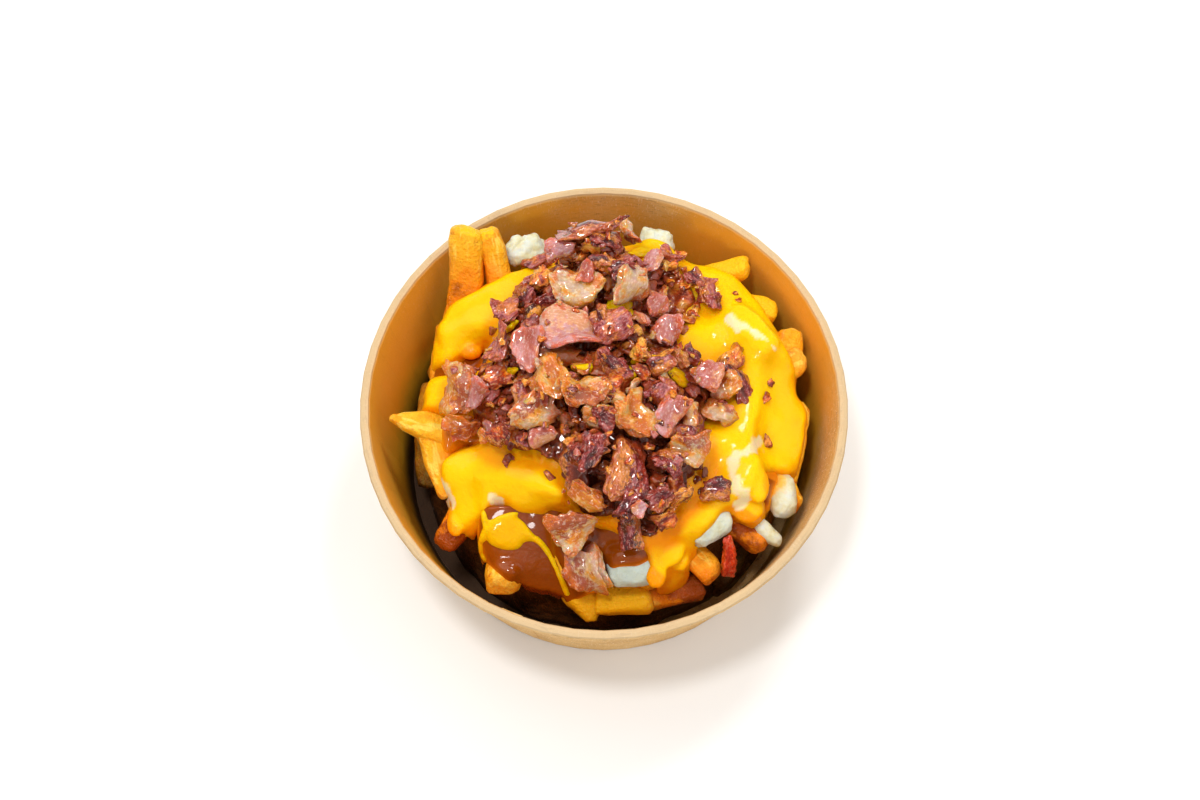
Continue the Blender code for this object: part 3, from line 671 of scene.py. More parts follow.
# %% Fries placed one by one
# Foot, tip, width, and for three of them how far the tip narrows to a wedge
FRIES = [
    ((-47.5, 30, 46), (-43, 53, 72), 10.5),
    ((-33, 38, 50), (-37, 54, 69), 8.0),
    ((-44, -9, 51), (-66, -5, 57), 9.0, 0.72),
    ((-55, -4, 52), (-48, -28, 48), 9.5, 0.35),
    ((-38, -22, 48), (-50, -42, 40), 9.5, 0.15),
    ((-29, -42, 35), (-31, -55, 41.5), 11.5),
    ((-12, -50, 34), (-2, -61, 31), 9.0),
    ((-3, -57, 35), (15, -57, 36), 9.0),
    ((11, -56, 32), (31, -52, 33), 8.5),
    ((22, -40, 41), (34, -52, 43), 8.5),
    ((36, -32, 44), (50, -42, 44), 9.0),
    ((44, -14, 46), (60, -30, 42), 8.5),
    ((48, 8, 46), (63, 17, 54), 9.5),
    ((54, 4, 40), (60, 28, 50), 8.5),
    ((22, 44, 48), (47, 49, 54), 7.5),
    ((36, 38, 47), (56, 34, 49), 8.0),
    ((-20, 46, 46), (4, 60, 50), 8.0),
]
# Fries just under the sauce: where their ends are, seen from above
RIDGES = [((50, 22), (39, -24)), ((-52, 24), (-18, 32)), ((-40, -22), (-10, -31)),
          ((10, -42), (33, -31)), ((20, 44), (46, 31)), ((-56, 6), (-42, 2))]
RIDGE_SUNK = 2.6
laid = list(FRIES)
for (ax, ay), (bx, by) in RIDGES:
    a, b = float(hill(ax, ay)), float(hill(bx, by))
    laid.append(((ax, ay, a - RIDGE_SUNK), (bx, by, b - RIDGE_SUNK), 9.0))
print(len(laid), "fries placed one by one")

# %% [markdown]
# Behind and below them the bowl is full of others. They are laid by seeded chance, so that the dish
# is whole from every side: a ring in three levels between the heap and the wall, and more that lie
# every way under the top of the heap.

# %% Fries that fill the bowl
RING_FRIES = 34
# In front and on the front left nothing lies between the heap and the wall
FRONT_GAP = (math.radians(186), math.radians(312))
RING_LEVELS = ((10, 0.8), (17, 0.9), (24, 1.0))    # height, and distance from the wall in widths
TOP_FRIES = 26
TOP_SPREAD, HEAP_REACH = 50, 55      # how far out their middles and their ends may lie

fry_draw = random.Random(41)
for index in range(RING_FRIES):
    direction = 2 * math.pi * (index + fry_draw.uniform(-0.3, 0.3)) / RING_FRIES
    if FRONT_GAP[0] < direction < FRONT_GAP[1]:
        continue
    width, half = fry_draw.uniform(7.0, 9.0), fry_draw.uniform(13, 20)
    low, off_wall = RING_LEVELS[index % 3]
    edge_height = EDGE_HEIGHT + EDGE_TILT * math.sin(direction)
    low = low + (edge_height - EDGE_HEIGHT) * 0.8 + fry_draw.uniform(-1.5, 1.5)
    rise = fry_draw.uniform(0, 5)
    reach = wall_inside(low) - width * off_wall
    middle = math.sqrt(reach ** 2 - half ** 2)
    outwards = np.array([math.cos(direction), math.sin(direction), 0])
    sideways = np.array([-outwards[1], outwards[0], 0]) * fry_draw.choice((-1, 1))
    foot = outwards * middle - sideways * half + np.array([0, 0, low])
    tip = outwards * middle + sideways * half + np.array([0, 0, low + rise])
    laid.append((foot, tip, width))
for index in range(TOP_FRIES):
    direction, r = fry_draw.uniform(0, 2 * math.pi), TOP_SPREAD * math.sqrt(fry_draw.random())
    turn, half = fry_draw.uniform(0, math.pi), fry_draw.uniform(14, 22)
    x, y = r * math.cos(direction), r * math.sin(direction)
    ends = []
    for sign in (-1, 1):
        ex, ey = x + sign * half * math.cos(turn), y + sign * half * math.sin(turn)
        shrink = min(1.0, HEAP_REACH / math.hypot(ex, ey))
        ex, ey = ex * shrink, ey * shrink
        ends.append((ex, ey, float(hill(ex, ey)) - fry_draw.uniform(4.6, 6.5)))
    laid.append((ends[0], ends[1], fry_draw.uniform(7.5, 9.5)))
# Two more hold the sauce up at its right and left edges
laid += [((56, -22, 40), (62, 5, 45), 9.0), ((-52, 10, 43), (-50, 31, 47), 9.0)]
print(len(laid), "fries")

# %% [markdown]
# Fried potato goes from straw yellow on its flats to brown at its corners, with pale blisters and
# a thin film of oil. Where gravy ran over a fry, it is stained orange brown and glossy, and where
# sauce ran over it, it is bright yellow. Both follow a few named places.

# %% Fried potato
# Middle, size and strength of each stain
GRAVY_STAINS = [
    ((-46, 38, 56), 15.0, 0.6), ((42, -39, 46), 10.0, 1.0), ((54, -36, 44), 9.0, 1.0),
    ((28, -54, 34), 13.0, 1.0), ((-40, -18, 52), 9.0, 1.0), ((-45, -1, 49), 6.0, 1.0),
    ((-49, -42, 39), 11.0, 1.9),
]
CHEESE_STAINS = [
    ((-4, -59, 33), 11.0, 1.0), ((6, -59, 37), 9.0, 1.0), ((34, 47, 53), 15.0, 1.0),
    ((-40, 55, 72), 7.0, 1.0), ((52, 35, 50), 9.0, 1.0),
]
potato = Finish("fried_potato")
own = potato.read("own", "Vector")
coarse = use_group(drift, own, Scale=0.16, Detail=4.0)
fine = use_group(drift, own, Scale=0.9, Detail=3.0)
streaks = use_group(drift, own, Scale=0.5, Stretch=(0.15, 1, 1), Detail=2.0)
fried = ramp(coarse * 0.7 + potato.read("tone") * 0.3,
             [(0.0, (0.84, 0.27, 0.004)), (0.5, (0.94, 0.41, 0.006)), (1.0, (0.97, 0.55, 0.03))])
fried = blend(between(streaks, 0.55, 0.95) * 0.7, fried, (0.95, 0.66, 0.10))
# Corners and ends are browned, and cut faces show the pale inside
browned = potato.read("crisp") * (fine + 0.35)
fried = blend(between(browned, 0.40, 1.15), fried, (0.62, 0.20, 0.010))
fried = blend(between(browned, 1.0, 1.6), fried, (0.20, 0.05, 0.006))
fried = blend(potato.read("pale") * (fine + 0.3), fried, (0.90, 0.50, 0.06))
wet = potato.read("stain") * (coarse + 0.55)
fried = blend(between(wet, 0.12, 0.5), fried, (0.90, 0.26, 0.003))
fried = blend(between(wet, 0.5, 1.05), fried, (0.34, 0.060, 0.003))
filmed = potato.read("cheesy") * (fine + 0.75)
fried = blend(between(filmed, 0.35, 0.75), fried, (0.96, 0.50, 0.003))
# Deep in the bowl the fries are painted near black: painted shade, where little light reaches
fried = blend(potato.read("depth") * 0.93, fried, (0.035, 0.011, 0.003))
potato.feed(
    Base_Color=fried, Roughness=0.46 - between(wet, 0.2, 0.8) * 0.30,
    Normal=use_group(relief, own, Scale=0.9, Depth=0.0009), Specular_IOR_Level=0.25,
    Subsurface_Weight=0.2, Subsurface_Scale=0.0012, Subsurface_Radius=(1.0, 0.45, 0.12))
print("fried potato with", len(GRAVY_STAINS), "gravy stains")

# %% [markdown]
# Now the fries are made. None may stick through the paper, so points beyond the wall are pulled
# back to it. How deep a fry lies goes along as a number, for painted shade on the lowest ones.

# %% Fries
WALL_GAP = 0.6
PAINTED_SHADE_FROM, PAINTED_SHADE_DEPTH = 37.0, 13.0      # the light fades from this height down, over this depth
fries = Heap()
for foot, tip, width, *taper in laid:
    points, faces, attributes = fry_shape(foot, tip, width, fry_draw, *taper)
    r = np.hypot(points[:, 0], points[:, 1])
    most = wall_inside(points[:, 2]) - WALL_GAP
    squeeze = np.where(points[:, 2] < WALL_TOP + 2, np.minimum(1, most / np.maximum(r, 1)), 1)
    points[:, :2] *= squeeze[:, None]
    fries.add(points, faces, stain=stained_near(points, GRAVY_STAINS),
              cheesy=stained_near(points, CHEESE_STAINS),
              depth=np.clip((PAINTED_SHADE_FROM - points[:, 2]) / PAINTED_SHADE_DEPTH, 0, 1), **attributes)
fries_piece = fries.piece("fries", potato, "fried_potato", ("fries_heap",))

# %% [markdown]
# Under the fries that show there is only darkness and more fries. A rounded core, kept well below
# them, closes the gaps. It is the dark brown of fries soaked in gravy, made darker as painted shade,
# so a gap reads as depth. Its top follows the hill, and from its shoulder it goes down to the floor of the
# bowl.

# %% Core of the heap
CORE_SINK = 9.0                          # below the hill
CORE_RADIUS, CORE_FLARE = 52.0, 8.0      # radius of its shoulder, and how much wider its foot is
CORE_SHOULDER = 34                       # height
CORE_SIDES, CORE_RINGS = 72, 26
TOP_SHARE = 0.6                          # of the rings
soaked_fries_and_shade = Finish("soaked_fries_and_shade")
place = soaked_fries_and_shade.place()
brown = ramp(use_group(drift, place, Scale=0.12, Detail=4.0),
             [(0.0, (0.035, 0.012, 0.004)), (1.0, (0.15, 0.05, 0.012))])
soaked_fries_and_shade.feed(
    Base_Color=brown, Roughness=0.4, Normal=use_group(relief, place, Scale=0.3, Depth=0.002))
points, faces = [(0.0, 0.0, HEAP_TOP - CORE_SINK)], []
for ring in range(1, CORE_RINGS + 1):
    on_top = min(ring / CORE_RINGS / TOP_SHARE, 1)
    on_side = max(ring / CORE_RINGS - TOP_SHARE, 0) / (1 - TOP_SHARE)
    r = CORE_RADIUS * on_top + CORE_FLARE * on_side
    for side in range(CORE_SIDES):
        direction = 2 * math.pi * side / CORE_SIDES
        x, y = r * math.cos(direction), r * math.sin(direction)
        z = CORE_SHOULDER - (CORE_SHOULDER - LOWEST) * on_side
        if not on_side:
            z = float(hill(x, y)) - CORE_SINK - 0.02 * r
        wobble = 1 + 0.04 * noise.noise(Vector((x, y, z)) / 9)
        points.append((x * wobble, y * wobble, z))
points.append((0.0, 0.0, LOWEST))
for side in range(CORE_SIDES):
    after = (side + 1) % CORE_SIDES
    faces.append([0, 1 + side, 1 + after])
    for ring in range(CORE_RINGS - 1):
        a, b = 1 + ring * CORE_SIDES, 1 + (ring + 1) * CORE_SIDES
        faces.append([a + side, b + side, b + after, a + after])
    start = 1 + (CORE_RINGS - 1) * CORE_SIDES
    faces.append([start + side, len(points) - 1, start + after])
core_piece = new_piece("heap_core", points, faces, soaked_fries_and_shade)

# %% [markdown]
# Cheese curds are torn lumps of young cheese: creamy white, springy, with rounded knobs and small
# dents where they broke apart. Light goes some way into them, which makes their shaded sides soft.

# %% Curd finish
curd = Finish("cheese_curd")
place = curd.place()
mask = use_group(drift, place, Scale=0.25, Detail=4.0)
cream = ramp(mask, [(0.0, (0.60, 0.54, 0.29)), (0.45, (0.66, 0.65, 0.46)), (1.0, (0.64, 0.68, 0.62))])
# Gravy ran over one side of some of them
ran = curd.read("stain") + (mask * 0.4 - 0.2)
cream = blend(between(ran, 0.15, 0.5), cream, (0.78, 0.42, 0.05))
cream = blend(between(ran, 0.5, 1.0), cream, (0.42, 0.11, 0.004))
# The ones in front lie in bluish shade
cream = blend(curd.read("cool") * 0.8, cream, (0.43, 0.50, 0.45))
curd.feed(
    Base_Color=cream, Roughness=0.42, Normal=use_group(relief, place, Scale=0.8, Depth=0.0005),
    IOR=1.38, Subsurface_Weight=0.35, Subsurface_Scale=0.003, Subsurface_Radius=(1.0, 0.8, 0.5))
print("curd finish:", len(curd.tree.nodes), "nodes")

# %% [markdown]
# The CAD solids of the curds already have the right place, size and flat foot. So each is copied,
# remeshed finely and roughened with noise of two sizes. A voxel remesh wraps a new, even skin round
# a closed mesh, and some smoothing takes the steps out of it.

# %% Curds
CURD_VOXEL = 0.6
# The two at the back are torn and knobbly, the others are smooth wedges
CURD_KNOBS = [1.5, 1.2, 0.4, 0.25, 0.2, 0.25, 0.4, 0.3]
CURD_NAMES = [f"curd_{index}" for index in range(1, 9)]
CURD_STAINS = [((50, -22, 50), 6.5, 1.0), ((28, -34, 55), 5.0, 1.0)]
COOL_CURDS = {"curd_6": 1.0, "curd_7": 0.45}      # how deep they lie in shade


def remeshed(mesh, voxel, rounds):
    """Points, normals and faces of a closed mesh, remeshed evenly and smoothed, in millimetres."""
    source = into_scene("remesh_source", mesh)
    modifier = source.modifiers.new("Remesh", "REMESH")
    modifier.mode = "VOXEL"
    modifier.voxel_size = voxel * MM
    smoothing = source.modifiers.new("Smooth", "SMOOTH")
    smoothing.factor, smoothing.iterations = 0.5, rounds
    graph = bpy.context.evaluated_depsgraph_get()
    made = source.evaluated_get(graph).to_mesh()
    points, normals = np.zeros(len(made.vertices) * 3), np.zeros(len(made.vertices) * 3)
    made.vertices.foreach_get("co", points)
    made.vertices.foreach_get("normal", normals)
    faces = [list(face.vertices) for face in made.polygons]
    source.evaluated_get(graph).to_mesh_clear()
    bpy.data.objects.remove(source)
    return points.reshape(-1, 3) / MM, normals.reshape(-1, 3), faces


curds = Heap()
for index, (label, knobs) in enumerate(zip(CURD_NAMES, CURD_KNOBS)):
    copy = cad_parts[label].data.copy()
    points, normals, faces = remeshed(copy, CURD_VOXEL, 3)
    bumps = rumple(points, 3.0, index) * knobs * 0.8 + rumple(points, 1.6, index + 20) * knobs * 0.5
    curds.add(points + normals * bumps[:, None], faces, stain=stained_near(points, CURD_STAINS),
              cool=np.full(len(points), COOL_CURDS.get(label, 0.0)))
    bpy.data.meshes.remove(copy)
curds_piece = curds.piece("curds", curd, "cheese_curd", CURD_NAMES)

# %% [markdown]
# Now the height map takes up everything solid so far. Rays cast straight down find the highest
# surface under every point of the grid. Points outside the bowl are left out.

# %% Map of the solid food
RAY_START = 110.0     # height, above everything
MAP_RADIUS = 72.0


def raise_map(field, *pieces):
    """The map raised to the tops of the given pieces."""
    raised = field.copy()
    for piece in pieces:
        surface = BVHTree.FromObject(piece, bpy.context.evaluated_depsgraph_get())
        for i, j in np.argwhere(GRID_X ** 2 + GRID_Y ** 2 <= MAP_RADIUS ** 2):
            start = Vector((AXIS[i], AXIS[j], RAY_START)) * MM
            hit = surface.ray_cast(start, Vector((0, 0, -1)))[0]
            if hit is not None:
                raised[i, j] = max(raised[i, j], hit.z / MM)
    return raised


bare = np.full(GRID_X.shape, LOWEST)
solid = raise_map(bare, fries_piece, core_piece, curds_piece)
print(f"highest fry or curd {solid.max():.1f} mm")

# %% [markdown]
# A poured liquid is thick in its middle, rolls off in a rounded lip at its edge and bridges small
# hollows. A fluid simulation could make it, but is hard to steer to the outline of the real dish.
# So it is built on the height map in three steps: an outline, a slab between two maps, and the
# thickness that the liquid takes. An outline is drawn with few corners, seen from above, and flows
# after its corners are cut. Then every point of the grid learns how far inside it lies.

# %% Outlines


def rounded_outline(corners, rounds=3):
    """Cut the corners of a closed outline until it flows."""
    points = np.array(corners, float)
    for _ in range(rounds):
        after = np.roll(points, -1, axis=0)
        points = np.stack([0.75 * points + 0.25 * after, 0.25 * points + 0.75 * after], 1).reshape(-1, 2)
    return points


def inside_by(outline):
    """How far each point of the grid lies inside a closed outline, negative outside."""
    after = np.roll(outline, -1, axis=0)
    nearest = np.full(GRID_X.shape, 1e9)
    within = np.zeros(GRID_X.shape, bool)
    for (ax, ay), (bx, by) in zip(outline, after):
        run_x, run_y = bx - ax, by - ay
        length = run_x ** 2 + run_y ** 2
        if length == 0:
            continue
        share = np.clip(((GRID_X - ax) * run_x + (GRID_Y - ay) * run_y) / length, 0, 1)
        off = (GRID_X - ax - share * run_x) ** 2 + (GRID_Y - ay - share * run_y) ** 2
        nearest = np.minimum(nearest, off)
        if ay != by:
            level = (ay > GRID_Y) != (by > GRID_Y)
            within ^= level & (GRID_X < ax + run_x * (GRID_Y - ay) / (by - ay))
    return np.sqrt(nearest) * np.where(within, 1, -1)


def grid_noise(size, seed):
    """Smooth noise over the grid, from -1 to 1."""
    coarse = np.arange(-REACH, REACH + size, size / 3)
    rough = np.array([[noise.noise(Vector((x / size + seed, y / size, seed))) for y in coarse]
                      for x in coarse])
    i, j = (GRID_X + REACH) / (size / 3), (GRID_Y + REACH) / (size / 3)
    a, b = np.minimum(i.astype(int), len(coarse) - 2), np.minimum(j.astype(int), len(coarse) - 2)
    u, v = i - a, j - b
    u, v = u * u * (3 - 2 * u), v * v * (3 - 2 * v)     # no creases between cells
    return ((rough[a, b] * (1 - u) + rough[a + 1, b] * u) * (1 - v)
            + (rough[a, b + 1] * (1 - u) + rough[a + 1, b + 1] * u) * v)


# %% [markdown]
# The slab is a closed mesh between an upper and a lower map. It is rough, with steps along its
# border. A voxel remesh and some smoothing turn it into one skin with rounded lips, and melt in the
# drips that are joined to it before.

# %% Slabs


def slab(top, bottom, kept):
    """A closed mesh between two maps over the kept points of the grid, in metres."""
    number = -np.ones(kept.shape, int)
    number[kept] = np.arange(kept.sum())
    count = int(kept.sum())
    x, y = GRID_X[kept], GRID_Y[kept]
    points = np.concatenate([np.stack([x, y, top[kept]], 1), np.stack([x, y, bottom[kept]], 1)])
    whole = kept[:-1, :-1] & kept[1:, :-1] & kept[:-1, 1:] & kept[1:, 1:]
    i, j = np.nonzero(whole)
    upper = np.stack([number[i, j], number[i + 1, j], number[i + 1, j + 1], number[i, j + 1]], 1)
    faces = np.concatenate([upper, upper[:, ::-1] + count])
    # An edge that only one square has is on the border, and gets a wall
    edges = {}
    for quad in upper.tolist():
        for first, second in zip(quad, quad[1:] + quad[:1]):
            if (second, first) in edges:
                del edges[(second, first)]
            else:
                edges[(first, second)] = True
    walls = [[second, first, first + count, second + count] for first, second in edges]
    mesh = bpy.data.meshes.new("slab")
    mesh.from_pydata((points * MM).tolist(), [], faces.tolist() + walls)
    # Points in no square are left over, and go
    bm = bmesh.new()
    bm.from_mesh(mesh)
    bmesh.ops.delete(bm, geom=[v for v in bm.verts if not v.link_faces], context="VERTS")
    bm.to_mesh(mesh)
    bm.free()
    return mesh


def add_blob(mesh, centre, size):
    """Join an egg of three half sizes to a mesh."""
    bm = bmesh.new()
    bm.from_mesh(mesh)
    made = bmesh.ops.create_icosphere(bm, subdivisions=3, radius=1)["verts"]
    bmesh.ops.scale(bm, vec=Vector(size) * MM, verts=made)
    bmesh.ops.translate(bm, vec=Vector(centre) * MM, verts=made)
    bm.to_mesh(mesh)
    bm.free()


# %% [markdown]
# The upper map is the ground that the liquid lies on, plus a thickness that grows from nothing at
# the outline. This ground isn't the food itself, but what a blunt tip makes of it when it is rolled
# over the food: narrow gaps are bridged, and what sticks up stays.

# %% Pouring
SLAB_MARGIN = 1.6      # how far past its outline a slab reaches before the remesh
DIVE = 1.8             # slope of that margin
UNEVEN = 0.18          # how much its thickness varies
DEEPEST = 5.0          # a slab never reaches further below what was poured


def pour(below, ground, edge_map, full, lip):
    """A liquid over a map: thickness grows from nothing at the outline to `full` over `lip`."""
    share = np.clip(edge_map / lip, 0, 1)
    thickness = full * np.sqrt(1 - (1 - share) ** 2)
    rolled = ground + thickness * (1 + UNEVEN * grid_noise(9.0, 3.0))
    # Outside the outline the top dives under the food, so the lip ends there
    top = np.where(edge_map > 0, rolled, ground + edge_map * DIVE)
    kept = (edge_map > -SLAB_MARGIN) & (below > LOWEST + 6)
    bottom = np.maximum(np.minimum(below, top) - 1.0, top - full - DEEPEST)
    return top, bottom, kept, thickness


def settle(field, reach, curve, rounds):
    """What a liquid makes of the ground: hollows that a blunt tip can't enter are bridged."""
    cells = int(reach / STEP)
    bridged = -spread_out(-spread_out(field, cells, curve), cells, curve)
    return soften(np.maximum(soften(bridged, rounds), field), 3)


# %% [markdown]
# The gravy went on first. It is brown, clear and very glossy: dark where it stands thick, and
# bright orange where it thins out at its edges over a fry or a curd. So its colour follows how
# thick it is, and a coat of clear shine lies over it.

# %% Gravy finish
gravy = Finish("brown_gravy")
place = gravy.place()
clouds = use_group(drift, place, Scale=0.10, Detail=3.0)
body = ramp(gravy.read("thick") + (clouds * 0.2 - 0.1),
            [(0.0, (0.88, 0.30, 0.003)), (0.35, (0.66, 0.17, 0.002)), (0.75, (0.32, 0.065, 0.001)),
             (1.0, (0.23, 0.042, 0.001))])
gravy.feed(
    Base_Color=body, Roughness=0.25, Normal=use_group(relief, place, Scale=0.16, Depth=0.0006),
    Specular_IOR_Level=0.05, Coat_Weight=0.5, Coat_Roughness=0.04,
    Subsurface_Weight=0.15, Subsurface_Scale=0.002, Subsurface_Radius=(1.0, 0.3, 0.05))
print("gravy finish:", len(gravy.tree.nodes), "nodes")

# %% [markdown]
# The gravy shows in four places. In front it stands as a pool that bridges the fries, with a plain
# sloping surface. On the left and beside a curd on the right it only left a film, and has the
# colour of thin gravy.

# %% Gravy
GRAVY_EDGES = {
    "pool": [
        (-39, -38), (-34, -30), (-25, -30), (-10, -30), (2, -32), (14, -38), (16, -46), (12, -51.5),
        (4, -52), (-2, -53), (-8, -58), (-18, -58), (-27, -55), (-35, -49)],
    "left": [(-50, -8), (-47, -4), (-43, -6), (-37, -10), (-38, -14), (-45, -14), (-49, -17)],
    "upper": [(-55, 11), (-53, 17), (-45, 20), (-37, 18), (-41, 12), (-51, 8)],
    "right": [(46, -21), (52, -18), (54, -22), (51, -27), (50, -32), (46, -29)],
}
GRAVY_THICKNESS, GRAVY_LIP, GRAVY_VOXEL = 2.4, 3.5, 0.6
# Between these lines it is a film
FILM_FROM, FILM_TO = -24.0, 4.0
# Surface of the pool: its height at its back, and how it falls towards the front
POOL_BACK, POOL_HEIGHT, POOL_SLOPE = -38.0, 51.0, 0.78

ground = settle(solid, 5.0, 0.2, 5)
pool_plane = POOL_HEIGHT + (GRID_Y - POOL_BACK) * POOL_SLOPE
in_pool = inside_by(rounded_outline(GRAVY_EDGES["pool"])) > -SLAB_MARGIN
in_pool &= GRID_Y < POOL_BACK + 6
ground = soften(np.where(in_pool, np.maximum(ground, pool_plane), ground), 4)
edge = np.max([inside_by(rounded_outline(outline)) for outline in GRAVY_EDGES.values()], axis=0)
top, bottom, kept, thickness = pour(solid, ground, edge, GRAVY_THICKNESS, GRAVY_LIP)
points, _, faces = remeshed(slab(top, bottom, kept), GRAVY_VOXEL, 6)
filmed = (points[:, 1] > FILM_FROM) & (points[:, 1] < FILM_TO)
share = read_map(thickness, points[:, 0], points[:, 1]) / GRAVY_THICKNESS
gravy_piece = new_piece(
    "gravy", points, faces, gravy, {"thick": np.sqrt(share) * np.where(filmed, 0.5, 1.0)},
    ("gravy_pool", "gravy_left", "gravy_upper"))
under_sauce = raise_map(solid, gravy_piece)

# %% [markdown]
# Melted cheese sauce is the brightest thing in the dish. It is an even golden yellow that turns
# orange where light comes through a thin edge, and its steep flanks get painted orange shade. Light goes
# deep into it, so it gets strong subsurface scattering, and only a faint coat of shine.

# %% Cheese sauce finish
cheese = Finish("cheese_sauce")
place = cheese.place()
clouds = use_group(drift, place, Scale=0.07, Detail=3.0)
yellow = ramp(cheese.read("thick") + (clouds * 0.3 - 0.15),
              [(0.0, (0.88, 0.30, 0.001)), (0.45, (0.92, 0.46, 0.001)), (1.0, (0.94, 0.54, 0.001))])
# Steep flanks are painted orange as shade, by the direction that the surface faces
tilt = split(cheese.normal())[2]
yellow = blend(between(tilt, 0.85, 0.15) * 0.65, yellow, (0.94, 0.30, 0.001))
# A curd close under the sauce turns it cream, and the same cream paints two highlights
yellow = blend(cheese.read("tears_and_glints") * 0.9, yellow, (0.80, 0.68, 0.40))
# Next to the bacon the sauce is painted orange: partly a stain of its fat, partly painted shade under the
# pile
yellow = blend(cheese.read("crevice_shade_and_glaze") * 0.8, yellow, (0.84, 0.21, 0.001))
flow = use_group(relief, place, Scale=0.12, Depth=0.0008)
flow = use_group(relief, place, Scale=0.45, Depth=0.0004, Normal=flow)
cheese.feed(
    Base_Color=yellow, Roughness=0.35, Normal=flow, Specular_IOR_Level=0.03,
    Coat_Weight=0.28, Coat_Roughness=0.04,
    Subsurface_Weight=0.7, Subsurface_Scale=0.004, Subsurface_Radius=(1.0, 0.45, 0.02))
print("cheese sauce finish:", len(cheese.tree.nodes), "nodes")

# %% [markdown]
# The sauce drapes over fries and curds, breaks off at the edge of the heap and hangs down there in
# round-ended drips. The drips are eggs joined to the poured slab before the remesh, so that they
# melt into it. Along some ragged lines the sauce tore thin, and there a curd shows through; two
# short marks of the same cream are painted highlights.

# %% Where the sauce lies
SAUCE_EDGE = [
    (-56.5, 14), (-57, 24), (-54, 31), (-49, 34), (-42, 35.5), (-35, 39), (-27, 44), (-17, 51.5),
    (-5, 56), (10, 57), (25, 53), (38, 47), (49, 38), (54, 28), (57, 18), (61, 9), (64, 1),
    (65.2, -8), (64.5, -17), (61, -21), (57, -20), (53, -20), (49, -22), (47, -27), (49, -33),
    (46, -38), (41, -34), (36, -34), (33, -40),
    (27, -44), (25, -51), (20, -56), (15, -53), (12, -46), (2, -41), (-9, -37), (-18, -35),
    (-25, -36), (-31, -31), (-36, -34), (-42, -39), (-47, -37), (-46, -31), (-50, -24),
    (-50, -18), (-44, -15), (-36, -13), (-37, -6), (-46, -4), (-56, -2), (-60, 5), (-58, 12),
    (-51, 9), (-42, 11), (-36, 15), (-35, 22), (-42, 20), (-48, 15),
]
SAUCE_THICKNESS, SAUCE_LIP, SAUCE_VOXEL = 3.0, 4.0, 0.7
# Over the right side the sauce is painted more orange as shade, from this line on over this distance
SHADE_RIGHT_FROM, SHADE_RIGHT_OVER = 53.0, 7.0
# Round ends of drips: point of the picture, half sizes across, along and up
DRIPS = [
    ((668, 550), (5.2, 5.4, 2.6)), ((656, 574), (3.3, 4.6, 2.4)), ((680, 560), (3.2, 3.6, 2.4)),
    ((748, 508), (5.0, 5.0, 2.8)), ((758, 485), (3.6, 6.0, 2.4)), ((456, 522), (3.0, 5.0, 2.0)),
    ((471, 352), (3.6, 2.6, 2.4)),
]
# Where the sauce is so thin that a curd shows through, and two painted highlights: half width of
# the mark, and its path in the picture
TEAR_AND_GLINT_PATHS = [
    (1.2, [(729, 317), (736, 322), (740, 326)]), (1.1, [(743, 326), (750, 329), (757, 333)]),
    (0.6, [(757, 333), (766, 339), (774, 348)]),
    (1.5, [(760, 441), (750, 448), (738, 454), (731, 462), (733, 474), (739, 486), (743, 496), (741, 504)]),
    # The last two are painted highlights on the sauce, not tears
    (1.3, [(440, 484), (447, 492), (453, 501)]), (1.1, [(492, 498), (500, 501)]),
]

# %% [markdown]
# How thick the sauce is goes to its material as a number at every point, and so do its tears and
# its painted highlights. The thickness is read from the map that the pouring gave. The tears and
# highlights are rows of spots along their paths, and noise breaks up their edges.

# %% Cheese sauce


def steps_along(path, count):
    """Even steps along each leg of a path in the picture."""
    for (ax, ay), (bx, by) in zip(path, path[1:]):
        for share in np.linspace(0, 1, count):
            yield ax + share * (bx - ax), ay + share * (by - ay)


ground = settle(under_sauce, 9.0, 0.06, 14)
edge = inside_by(rounded_outline(SAUCE_EDGE)) + 0.5 * grid_noise(5.0, 8.0)
sauce_top, bottom, kept, thickness = pour(under_sauce, ground, edge, SAUCE_THICKNESS, SAUCE_LIP)
mesh = slab(sauce_top, bottom, kept)
for (px, py), size in DRIPS:
    add_blob(mesh, seen_at(px, py, ground, 1.0), size)
points, _, faces = remeshed(mesh, SAUCE_VOXEL, 7)
depth = read_map(thickness, points[:, 0], points[:, 1])
# The right side is counted thinner than it is, which paints it orange as shade
depth *= 1 - 0.6 * np.clip((points[:, 0] - SHADE_RIGHT_FROM) / SHADE_RIGHT_OVER, 0, 1)
# The tears and the painted highlights have ragged edges
tears_and_glints = np.zeros(len(points))
broken = 1.3 * rumple(points, 3.4, 3) + 0.4 * rumple(points, 1.4, 6)
for half_width, path in TEAR_AND_GLINT_PATHS:
    for px, py in steps_along(path, 5):
        x, y, _ = seen_on_food(px, py, sauce_top)
        away = np.hypot(points[:, 0] - x, points[:, 1] - y) / half_width
        tears_and_glints = np.maximum(tears_and_glints, np.clip((1.2 - away + broken) * 2.5, 0, 1))
sauce_piece = new_piece(
    "sauce", points, faces, cheese, {"thick": depth / SAUCE_THICKNESS, "tears_and_glints": tears_and_glints},
    ("cheese_sauce",))

# %% [markdown]
# A spoonful of sauce also fell on the gravy pool in front. It lies there as a flat drop that pulls
# out into thin tails, which curl with the gravy. The tails are rows of small eggs, joined to the
# drop like the drips above.

